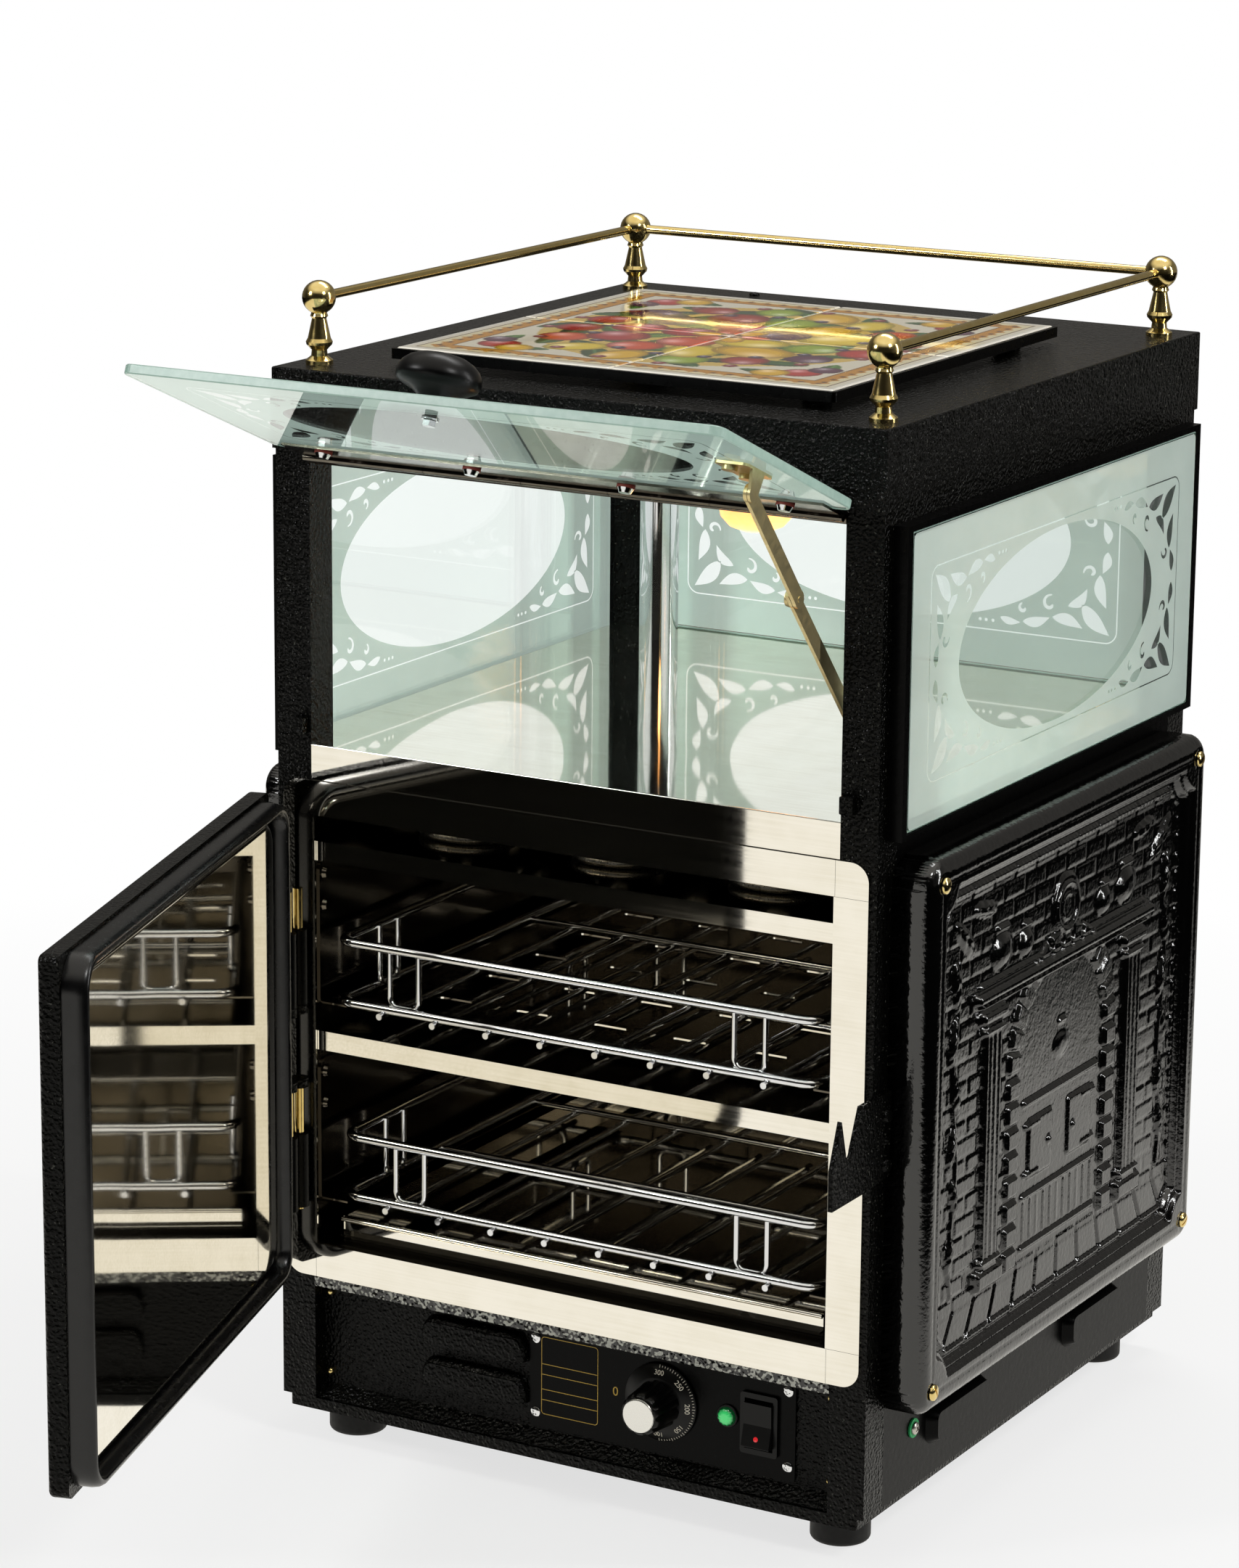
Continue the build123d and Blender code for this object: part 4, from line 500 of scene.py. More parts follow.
def warmBulb():
    # frosted lamp glass lit from inside
    material, tree, shader, where = startMaterial("warmLampGlass", "#ffd9a0", 0.4)
    frost = addNode(tree, "ShaderNodeTexNoise", {"Vector": where, "Scale": perMetre(6), "Detail": 2.0})
    tree.links.new(mixColours(tree, frost.outputs[0], "#ffe3b8", "#ffc680"), shader.inputs["Base Color"])
    shader.inputs["Emission Color"].default_value = hexToLinear("#ffb060")
    shader.inputs["Emission Strength"].default_value = 1.6
    return material


def porcelain():
    # glazed porcelain lamp holder
    material, tree, shader, where = startMaterial("glazedPorcelain", "#e9e4d8", 0.15, Coat_Weight=0.5)
    cloud = addNode(tree, "ShaderNodeTexNoise", {"Vector": where, "Scale": perMetre(15), "Detail": 2.0})
    tree.links.new(mixColours(tree, cloud.outputs[0], "#efebe0", "#dcd5c6"), shader.inputs["Base Color"])
    return material


def woolSlab():
    # mineral wool slab
    material, tree, shader, where = startMaterial("mineralWool", "#a89a6c", 0.95)
    fibres = addNode(tree, "ShaderNodeTexNoise", {"Vector": where, "Scale": perMetre(1.5), "Detail": 6.0})
    tree.links.new(mixColours(tree, fibres.outputs[0], "#b8aa7c", "#7f7350"), shader.inputs["Base Color"])
    bumpFrom(tree, shader, fibres.outputs[0], 0.8, 1.5)
    return material


finish = {
    "lip": hammeredCoat(), "darkMirror": darkMirror(), "coat": texturedPowderCoat(), "satin": satinBlackPaint(), "cast": glossCastEnamel(), "mirror": mirrorStainless(),
    "oven": ovenStainless(), "chrome": brightChrome(), "steel": satinSteel(), "brass": polishedBrass(), "rolled": rolledBrass(),
    "rubber": blackRubber(), "seal": siliconeSeal(), "phenolic": phenolicBlack(), "fibre": redFibre(),
    "green": lensPlastic("greenLens", "#06401c", "#3fd070", 0.45), "red": lensPlastic("redLens", "#7a0c10", "#e02a30", 0.4),
    "glass": clearGlass(), "edge": groundGlassEdge(), "frost": etchedFrost(), "tile": glazedPicture(),
    "cream": printInk("creamInk", "#e9e2cf"), "gold": printInk("goldInk", "#c9a544"), "earthGreen": printInk("earthGreen", "#1f9a55"),
    "cap": spunCap(), "bulb": warmBulb(), "porcelain": porcelain(), "wool": woolSlab(),
}
nodeFinish = {
    "coat": ["base_tray", "corner_posts", "top_frame", "roof_cap", "control_cover", "hinge_mounts", "door_shell", "catch_plate",
             "rest_clips"],
    "satin": ["side_walls", "back_wall", "tile_tray", "side_frames", "control_plate", "door_arms",
              "latch_plate", "latch_lever", "stay_anchor"],
    "cast": ["cast_panels"], "mirror": ["deck", "face_frame", "baffles", "crumb_tray", "door_pan"],
    "darkMirror": ["flap_strip", "flap_leaf_fixed"],
    "oven": ["oven_liner", "basket_runners"], "chrome": ["flue_tube", "basket_upper", "basket_lower", "flap_fixings"],
    "steel": ["heating_elements", "cover_fixings", "thermostat", "earth_screw"],
    "brass": ["gallery_posts", "gallery_rods", "panel_screws", "hinge_pins"],
    "rolled": ["stay_bracket", "stay_upper", "stay_lower"],
    "rubber": ["feet"], "seal": ["door_seal"],
    "phenolic": ["inlet_gland", "thermostat_knob", "switch_housing", "rocker", "terminal_block", "flap_knob"],
    "fibre": ["flap_washers"], "green": ["pilot_lamp"], "cap": ["knob_cap"], "tile": ["tiles"], "wool": ["insulation"],
    "glass": ["side_panes", "rear_pane", "flap_glass"], "bulb": ["display_lamp"],
}
for key, names in nodeFinish.items():
    for name in names:
        nodes[name].data.materials.clear()
        nodes[name].data.materials.append(finish[key])
print("stage: materials,", len(finish))

# places taken from the frame
postLow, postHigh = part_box("corner_posts")
frontY, backY = postLow.y, postHigh.y
midY = (frontY + backY) / 2
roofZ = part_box("roof_cap")[1].z
flapPin = Vector(joints["flap_hinge"]["pos_m"])
flapTilt = math.radians(joints["flap_hinge"]["range_deg"][0] * -1 - 90)
flapOut = Vector((0, -math.cos(flapTilt), math.sin(flapTilt)))
flapUp = Vector((0, math.sin(flapTilt), math.cos(flapTilt)))
doorPin = Vector(joints["door_hinge"]["pos_m"])
doorAngle = math.radians(-joints["door_hinge"]["range_deg"][0])
doorAlong = Vector((math.cos(doorAngle), -math.sin(doorAngle), 0))
doorIn = Vector((math.sin(doorAngle), math.cos(doorAngle), 0))

# etched glass
etching = {
    "border": 24.0, "line": 0.9, "ovalWidth": 0.78, "ovalHeight": 0.93, "film": 0.06, "spray": 1.28,
    "leaves": [(9, 8.5, 22, 8.5, 43, 1.2), (25, 5.4, 18, 6.4, 14, -1.6), (5.2, 24, 18, 6.6, 77, 1.6), (43, 5.2, 16, 5.6, -14, 1.3),
               (4.4, 39.5, 12, 5.2, 103, -1.0), (58, 3.4, 12, 4.0, 8, 0.8), (19.5, 19.5, 15, 5.4, -45, 2.4)],
    "scrolls": [(35, 14.5, 9.0, 15, 1), (12.5, 33.5, 7.5, 75, -1), (50.5, 10.5, 5.2, -10, 1)],
}


def leafLoop(cx, cy, length, width, turn, bend):
    # one pointed leaf whose spine curves by bend
    loop = []
    for side in (1, -1):
        steps = range(0, 13) if side > 0 else range(12, -1, -1)
        for i in steps:
            t = i / 12
            half = width / 2 * math.sin(math.pi * t ** 0.8) * side
            x, y = length * (t - 0.5), bend * math.sin(math.pi * t)
            loop.append((x, y + half))
    loop = [p for i, p in enumerate(loop) if i == 0 or math.hypot(p[0] - loop[i - 1][0], p[1] - loop[i - 1][1]) > 0.05]
    c, s = math.cos(math.radians(turn)), math.sin(math.radians(turn))
    return [(cx + x * c - y * s, cy + x * s + y * c) for x, y in loop]


def scrollLoop(cx, cy, size, turn, flip, width=2.2):
    # a tendril: spiral stroke of even width with a round bud
    centre = []
    for i in range(40):
        t = i / 39
        a = 4.6 * t
        r = size * (0.18 + 0.82 * t)
        centre.append((r * math.cos(a) * 0.55, flip * r * math.sin(a) * 0.55))
    left, right = [], []
    for i, (x, y) in enumerate(centre):
        ax, ay = centre[max(i - 1, 0)]
        bx, by = centre[min(i + 1, 39)]
        length = math.hypot(bx - ax, by - ay) or 1
        nx, ny = -(by - ay) / length, (bx - ax) / length
        w = width * (0.35 + 0.65 * math.sin(math.pi * min(1, (i + 4) / 44)))
        left.append((x + nx * w / 2, y + ny * w / 2))
        right.append((x - nx * w / 2, y - ny * w / 2))
    c, s = math.cos(math.radians(turn)), math.sin(math.radians(turn))
    return [(cx + x * c - y * s, cy + x * s + y * c) for x, y in left + right[::-1]]


def etchedLoops(width, height):
    # frosted ground with a clear oval, a clear pin-line and corner sprays of leaves and tendrils
    gap = etching["border"]
    loops = [roundedLoop(width - 1, height - 1, 4)]
    loops.append(roundedLoop(width - 2 * gap, height - 2 * gap, 9))
    loops.append(roundedLoop(width - 2 * gap - 2 * etching["line"], height - 2 * gap - 2 * etching["line"], 8.1))
    rx, ry = (width - 2 * gap) * etching["ovalWidth"] / 2, (height - 2 * gap) * etching["ovalHeight"] / 2
    loops.append([(rx * math.cos(2 * math.pi * i / 96), ry * math.sin(2 * math.pi * i / 96)) for i in range(96)])
    x0, y0 = width / 2 - gap - 4.5, height / 2 - gap - 4.5
    for sx in (-1, 1):
        for sy in (-1, 1):
            k = etching["spray"]
            spray = [leafLoop(x0 - ax * k, y0 - ay * k, long * k, wide * k, turn, bend * k) for ax, ay, long, wide, turn, bend in etching["leaves"]]
            spray += [scrollLoop(x0 - ax * k, y0 - ay * k, size * k, turn, flip, 2.5) for ax, ay, size, turn, flip in etching["scrolls"]]
            for dot in (68, 72, 75.5):
                spray.append([(x0 - dot * k + 1.2 * math.cos(a * math.pi / 5), y0 - 2.4 + 1.2 * math.sin(a * math.pi / 5)) for a in range(10)])
            loops += [[(sx * x, sy * y) for x, y in loop] for loop in spray]
    return loops


def etchedFilm(name, loops, place, body):
    data = bpy.data.curves.new(name, "CURVE")
    data.dimensions, data.fill_mode, data.extrude = "2D", "BOTH", etching["film"] * mm / 2
    for loop in loops:
        spline = data.splines.new("POLY")
        spline.points.add(len(loop) - 1)
        for point, (x, y) in zip(spline.points, loop):
            point.co = (x * mm, y * mm, 0, 1)
        spline.use_cyclic_u = True
    film = bpy.data.objects.new(name, data)
    bpy.context.scene.collection.objects.link(film)
    film = plainCopy(film)
    film.data.transform(place)
    return finishPiece(film, body, finish["frost"])


def glassSheet(name, width, height, radius, thick, place, body, node):
    pane = prism(name, roundedLoop(width, height, radius, 6), thick, place, 0.7)
    pane.data.materials.append(finish["glass"])
    pane.data.materials.append(finish["edge"])
    normal = place.to_3x3() @ Vector((0, 0, 1))
    for face in pane.data.polygons:
        face.material_index = 0 if abs(face.normal.dot(normal)) > 0.95 else 1
    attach(pane, body)
    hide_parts(node)
    return pane


def makeGlazing():
    low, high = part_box("side_panes")
    centreY, centreZ = (low.y + high.y) / 2, (low.z + high.z) / 2
    width, height = (high.y - low.y) / mm, (high.z - low.z) / mm
    for side, x in (("Left", low.x), ("Right", high.x)):
        out = -1 if side == "Left" else 1
        place = axesAt((x - out * 0.006, centreY, centreZ), (0, out, 0), (0, 0, 1))
        glassSheet("pane" + side, width - 0.6, height - 0.6, 1, 5.9, place, "cabinet", "side_panes")
        place = axesAt((x, centreY, centreZ), (0, out, 0), (0, 0, 1))
        etchedFilm("etching" + side, etchedLoops(width - 2, height - 2), place, "cabinet")
    low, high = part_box("rear_pane")
    width, height = (high.x - low.x) / mm, (high.z - low.z) / mm
    place = axesAt(((low.x + high.x) / 2, low.y, (low.z + high.z) / 2), (-1, 0, 0), (0, 0, 1))
    glassSheet("paneRear", width - 0.2, height - 0.4, 1, 5.9, place, "cabinet", "rear_pane")
    place = axesAt(((low.x + high.x) / 2, high.y, (low.z + high.z) / 2), (-1, 0, 0), (0, 0, 1))
    etchedFilm("etchingRear", etchedLoops(width - 2, height - 2), place, "cabinet")


flapSheet = {"width": 401.0, "start": 14.0, "end": 190.0, "face": 2.0, "thick": 6.0, "corner": 7.0}


def makeFlap():
    middle = (flapSheet["start"] + flapSheet["end"]) / 2
    face = flapPin + flapOut * middle * mm + flapUp * flapSheet["face"] * mm
    place = axesAt((0, face.y, face.z), (1, 0, 0), -flapOut)
    width, height = flapSheet["width"], flapSheet["end"] - flapSheet["start"]
    glassSheet("flapPane", width, height, flapSheet["corner"], flapSheet["thick"], place, "flap", "flap_glass")
    outer = face + flapUp * (flapSheet["thick"] + 0.02) * mm
    place = axesAt((0, outer.y, outer.z), (1, 0, 0), -flapOut)
    etchedFilm("etchingFlap", etchedLoops(width - 4, height - 4), place, "flap")


flapKnob = {"x": -8.0, "along": 151.6, "base": 8.05,
            "profile": [(0.02, 0), (9.0, 0), (9.3, 3), (10.5, 6.5), (14.5, 9.6), (19.8, 11.6), (23.6, 13.6), (25.1, 16.2),
                        (25.3, 18.2), (24.7, 21.4), (22.8, 25.0), (19.2, 28.2), (14.2, 30.6), (8.0, 31.9), (0.02, 32.3)]}


def makeFlapKnob():
    base = flapPin + flapOut * flapKnob["along"] * mm + flapUp * flapKnob["base"] * mm
    place = axesAt((flapKnob["x"] * mm, base.y, base.z), (1, 0, 0), -flapOut)
    knob = revolve("mushroomKnob", flapKnob["profile"], place, 64)
    finishPiece(knob, "flap", finish["phenolic"], ["flap_knob"])


doorSeal = {"corner": 12.0, "wide": 9.0}


def makeDoorSeal():
    # a hollow-section bead: tall rounded back, soft lip towards the pan
    seal = nodes["door_seal"]
    spots = np.array([(p.co @ doorIn, (p.co - doorPin) @ doorAlong, p.co.z) for p in seal.data.vertices])
    back, front = spots[:, 0].min(), spots[:, 0].max()
    uMid, zMid = (spots[:, 1].min() + spots[:, 1].max()) / 2, (spots[:, 2].min() + spots[:, 2].max()) / 2
    uSize, zSize = (spots[:, 1].max() - spots[:, 1].min()) / mm, (spots[:, 2].max() - spots[:, 2].min()) / mm
    rise = (front - back) / mm
    section = [(0.0, 0.2), (0.0, rise * 0.55), (0.7, rise * 0.8), (2.2, rise * 0.95), (4.2, rise), (6.2, rise * 0.95), (7.9, rise * 0.8),
               (8.8, rise * 0.58), (9.0, rise * 0.3), (9.0, 0.2)]
    points, faces = [], []
    rings = []
    for inset, up in section:
        rings.append([(x, y, up) for x, y in roundedLoop(uSize - 2 * inset, zSize - 2 * inset, max(doorSeal["corner"] + doorSeal["wide"] - inset, 6), 12)])
    count = len(rings[0])
    shift = doorPin.copy()
    shift.z = 0
    base = back - doorPin @ doorIn
    for ring in rings:
        for x, y, up in ring:
            point = shift + doorAlong * (uMid + x * mm) + doorIn * (base + up * mm)
            point.z = zMid + y * mm
            points.append(point)
    for j in range(len(rings) - 1):
        for i in range(count):
            k = (i + 1) % count
            faces.append((j * count + i, j * count + k, (j + 1) * count + k, (j + 1) * count + i))
    for i in range(count):
        k = (i + 1) % count
        last = (len(rings) - 1) * count
        faces.append((last + i, last + k, k, i))
    bead = sharpen(fixNormals(addMesh("doorSealBead", points, faces)), 50)
    finishPiece(bead, "door", finish["seal"], ["door_seal"])


makeGlazing()
makeFlap()
makeFlapKnob()
makeDoorSeal()
print("stage: etched glass")

# cast side panels: moulded rim and a hearth in relief
castPanel = {"width": 408.0, "height": 351.0, "proud": 28.3, "edge": 11.0, "corner": 16.0, "step": 1.3, "first": 19.5, "second": 24.5, "shelf": 3.4, "sink": 8.5, "notch": 20.0}


def boxField(u, v, cu, cv, width, height, radius):
    # signed distance to a rounded box, negative inside
    du = np.abs(u - cu) - width / 2 + radius
    dv = np.abs(v - cv) - height / 2 + radius
    return np.hypot(np.maximum(du, 0), np.maximum(dv, 0)) + np.minimum(np.maximum(du, dv), 0) - radius


def raised(field, rise, edge):
    # a boss of the given rise whose side is rounded over edge
    t = np.clip(-field / edge, 0, 1)
    return rise * np.sin(t * math.pi / 2)


def bead(field, at, width, rise):
    # a half-round bead that follows the outline at a distance
    t = np.clip(1 - np.abs(field + at) / (width / 2), 0, 1)
    return rise * np.sqrt(np.clip(1 - (1 - t) ** 2, 0, 1))


def hearthRelief(u, v):
    # own design: an arched hearth in brickwork, two fluted pillars, a shelf of jars, leaf sprays above
    half = 174.0
    row = np.floor((v + 200) / 12.5)
    shift = np.where(row % 2 == 0, 0, 15)
    bu = np.abs(((u + shift + 300) % 30) - 15)
    bv = np.abs(((v + 200) % 12.5) - 6.25)
    brick = 1.1 * np.clip((15 - bu) / 1.8, 0, 1) * np.clip((6.25 - bv) / 1.8, 0, 1)
    rnd = np.sin(row * 12.9898 + np.floor((u + shift + 300) / 30) * 78.233) * 43758.5453
    brick *= 0.75 + 0.5 * (rnd - np.floor(rnd))
    height = brick.copy()
    # hearth opening: sunk arch with a ring of wedge stones
    arch = np.where(v < 10, np.abs(u) - 62, np.hypot(u, v - 10) - 62)
    arch = np.maximum(arch, -(v + 118))
    ring = (arch > 0) & (arch < 19) & (v > -118)
    angle = np.degrees(np.arctan2(v - 10, u))
    joint = np.where(v < 10, np.abs(((v + 200) % 16) - 8) - 6.9, np.abs(((angle + 720) % 12) - 6) / 6 * 7 - 6.0)
    stone = 3.4 * np.clip(np.minimum(arch, 19 - arch) / 2.2, 0, 1) * np.clip(-joint / 1.2, 0, 1)
    height = np.where(ring, stone, height)
    height = np.where(arch <= 0, np.maximum(-3.0, -3.0 * np.clip(-arch / 3, 0, 1)), height)
    # range doors, rail and grate inside the arch
    for cu in (-29, 29):
        height = np.maximum(height, -3.0 + raised(boxField(u, v, cu, -46, 50, 54, 3), 3.6, 2.5))
        height = np.maximum(height, -3.0 + 3.6 + raised(boxField(u, v, cu, -46, 36, 40, 3), 1.6, 2.0))
        height = np.maximum(height, raised(np.hypot(u - cu * 0.62, v + 46) - 4.2, 4.4, 4.0))
        for cv in (-30, -62):
            height = np.maximum(height, raised(boxField(u, v, cu * 1.42, cv, 22, 4, 2), 3.2, 1.8))
    height = np.maximum(height, raised(boxField(u, v, 0, -14, 112, 5, 2.5), 3.4, 2.5))
    for k in range(11):
        height = np.maximum(height, -3.0 + raised(boxField(u, v, -50 + 10 * k, -93, 4.2, 30, 2.1), 4.4, 2.1))
    height = np.maximum(height, raised(boxField(u, v, 0, -76, 112, 5, 2.5), 2.6, 2.5))
    height = np.maximum(height, raised(boxField(u, v, 0, -110, 112, 5, 2.5), 2.6, 2.5))
    kettle = np.hypot((u) / 22, (v - 12) / 15) - 1
    height = np.maximum(height, -3 + raised(kettle * 16, 5.2, 14))
    height = np.maximum(height, -1 + raised(boxField(u, v, 0, 28, 13, 6, 2.5), 3.2, 2.4))
    # pillars with flutes, caps and feet
    for cu in (-104, 104):
        shaft = raised(boxField(u, v, cu, -28, 26, 168, 2), 4.2, 4.0)
        flute = 0.9 * np.clip(1 - np.abs(((u - cu + 60) % 6.2) - 3.1) / 1.5, 0, 1)
        shaft = np.where((np.abs(u - cu) < 11) & (v > -100) & (v < 46), shaft - flute, shaft)
        height = np.maximum(height, shaft)
        for cv, w, h in ((58, 36, 9), (49, 31, 6), (-112, 38, 14), (-101, 32, 6)):
            height = np.maximum(height, raised(boxField(u, v, cu, cv, w, h, 2), 5.4, 2.6))
    # mantel shelf with mouldings
    for cv, w, h, rise in ((72, 262, 8, 6.4), (66, 246, 5, 4.8), (79, 250, 4, 4.6)):
        height = np.maximum(height, raised(boxField(u, v, 0, cv, w, h, 2), rise, 2.4))
    # jars and plates on the shelf
    for cu, w, tall in ((-92, 17, 30), (-58, 12, 24), (58, 12, 24), (92, 17, 30)):
        body = np.hypot((u - cu) / w, (v - 82 - tall * 0.45) / (tall * 0.48)) - 1
        height = np.maximum(height, raised(body * w, 4.6, w * 0.8))
        height = np.maximum(height, raised(boxField(u, v, cu, 82 + tall * 0.95, w * 1.1, 5, 2), 3.6, 2.2))
    plate = np.hypot(u, v - 103) - 22
    height = np.maximum(height, raised(plate, 2.6, 3.0))
    height += bead(plate, 7, 3.2, 1.2) + bead(plate, 14, 2.4, 0.9)
    # leaf sprays in the upper corners and between pillar and rim
    for sx in (-1, 1):
        for cu, cv, length, width, turn in (
            (146, 116, 46, 15, 40), (155, 88, 40, 13, 80), (118, 128, 38, 12, 8), (157, 54, 36, 12, 100),
            (153, 20, 34, 11, 78), (157, -14, 34, 11, 102), (153, -48, 32, 10, 80), (157, -82, 30, 10, 98),
        ):
            c, s = math.cos(math.radians(turn)), math.sin(math.radians(turn))
            lu = ((u * sx - cu) * c + (v - cv) * s) / (length / 2)
            lv = (-(u * sx - cu) * s + (v - cv) * c) / (width / 2)
            inside = np.where(np.abs(lu) < 1, 1 - lu ** 2 - np.abs(lv) ** 1.6 * (1.3 + 0.5 * np.clip(lu, -1, 1)), -1)
            leaf = 4.2 * np.sqrt(np.clip(inside, 0, 1))
            vein = 0.9 * np.clip(1 - np.abs(lv) * 5, 0, 1) + 0.35 * np.cos((lu * 7 + np.abs(lv) * 3) * 2) * (inside > 0.1)
            height = np.maximum(height, np.where(inside > 0, leaf - vein, -9))
        stem = np.abs(u * sx - (154 + 3.5 * np.sin(v / 18)))
        height = np.maximum(height, np.where((v < 104) & (v > -112), 2.6 * np.sqrt(np.clip(1 - (stem / 2.4) ** 2, 0, 1)), -9))
    # tiled floor strip
    floor = (v < -121)
    slab = 1.6 * np.clip(np.minimum((v + 121) * -1, 26) / 1.5, 0, 1) * np.clip((14.5 - np.abs(((u + (v + 121) * u * 0.004 + 300) % 30) - 15)) / 1.4, 0, 1)
    height = np.where(floor, slab, height)
    return np.where(np.abs(u) < half, height, 0)


def makeCastPanels():
    step, wide, tall = castPanel["step"], castPanel["width"], castPanel["height"]
    nu, nv = int(wide / step) + 1, int(tall / step) + 1
    us, vs = np.linspace(-wide / 2, wide / 2, nu), np.linspace(-tall / 2, tall / 2, nv)
    u, v = np.meshgrid(us, vs, indexing="ij")
    outline = boxField(u, v, 0, 0, wide, tall, castPanel["corner"])
    inward = np.clip(-outline, 0, None)
    r = castPanel["edge"]
    rounding = np.sqrt(np.clip(r ** 2 - np.clip(r - inward, 0, r) ** 2, 0, None)) - r
    relief = hearthRelief(u, v)
    profile = 0.0
    for inset, deep, notch in ((castPanel["first"], castPanel["shelf"], castPanel["notch"]),
                               (castPanel["second"], castPanel["sink"] - castPanel["shelf"], castPanel["notch"] + 5)):
        field = boxField(u, v, 0, 0, wide - 2 * inset, tall - 2 * inset, 3)
        for cu in (-1, 1):
            for cv in (-1, 1):
                field = np.maximum(field, notch - np.hypot(u - cu * (wide / 2 - 15.7), v - cv * (tall / 2 - 15.7)))
        profile = profile - deep * np.clip(-field / 2.2, 0, 1)
    profile = profile + np.where(field < -2.5, np.minimum(relief, 7.0), 0) * np.clip((-field - 2.5) / 2, 0, 1)
    rope = 0.5 + 0.5 * np.sin((u + v) * 1.25)
    profile += bead(field, 6.5, 3.6, 1.8) * (0.6 + 0.4 * rope)
    profile += bead(boxField(u, v, 0, 0, wide - 2 * 14.5, tall - 2 * 14.5, 5), 0, 2.4, -0.6)
    for cu in (-1, 1):
        for cv in (-1, 1):
            seat = np.hypot(u - cu * (wide / 2 - 15.7), v - cv * (tall / 2 - 15.7))
            profile = np.where(seat < 7.5, np.minimum(profile, -0.5 * np.clip((7.5 - seat) / 1.5, 0, 1)), profile)
    height = castPanel["proud"] + np.minimum(rounding, 0) + profile - 0.3
    centreZ = (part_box("cast_panels")[0].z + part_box("cast_panels")[1].z) / 2
    # keep the grid points inside the rounded outline, and close its rim down to the side wall
    for side, sign in (("Left", -1), ("Right", 1)):
        keep = outline <= 0.0
        points = np.stack([sign * (postHigh.x / mm + height), midY / mm + u * sign, centreZ / mm + v], -1) * mm
        faces = []
        index = np.arange(nu * nv).reshape(nu, nv)
        quad = keep[:-1, :-1] & keep[1:, :-1] & keep[1:, 1:] & keep[:-1, 1:]
        for i, j in np.argwhere(quad):
            faces.append((int(index[i, j]), int(index[i + 1, j]), int(index[i + 1, j + 1]), int(index[i, j + 1])))
        panel = addMesh("castPanel" + side, points.reshape(-1, 3), faces)
        work = bmesh.new()
        work.from_mesh(panel.data)
        bmesh.ops.delete(work, geom=[p for p in work.verts if not p.link_faces], context="VERTS")
        rim = [e for e in work.edges if len(e.link_faces) == 1]
        skirt = bmesh.ops.extrude_edge_only(work, edges=rim)
        wallX = sign * (postHigh.x + 0.0002)
        for item in skirt["geom"]:
            if isinstance(item, bmesh.types.BMVert):
                item.co.x = wallX
        rim = [e for e in work.edges if len(e.link_faces) == 1]
        bmesh.ops.holes_fill(work, edges=rim, sides=0)
        bmesh.ops.recalc_face_normals(work, faces=work.faces)
        work.to_mesh(panel.data)
        work.free()
        panel.data.polygons.foreach_set("use_smooth", [True] * len(panel.data.polygons))
        finishPiece(panel, "cabinet", finish["cast"], ["cast_panels"])


makeCastPanels()
print("stage: cast panels")

# picture tiles
tileSet = {"side": 152.0, "gap": 1.0, "step": 1.1, "thick": 5.4, "edge": 1.2}


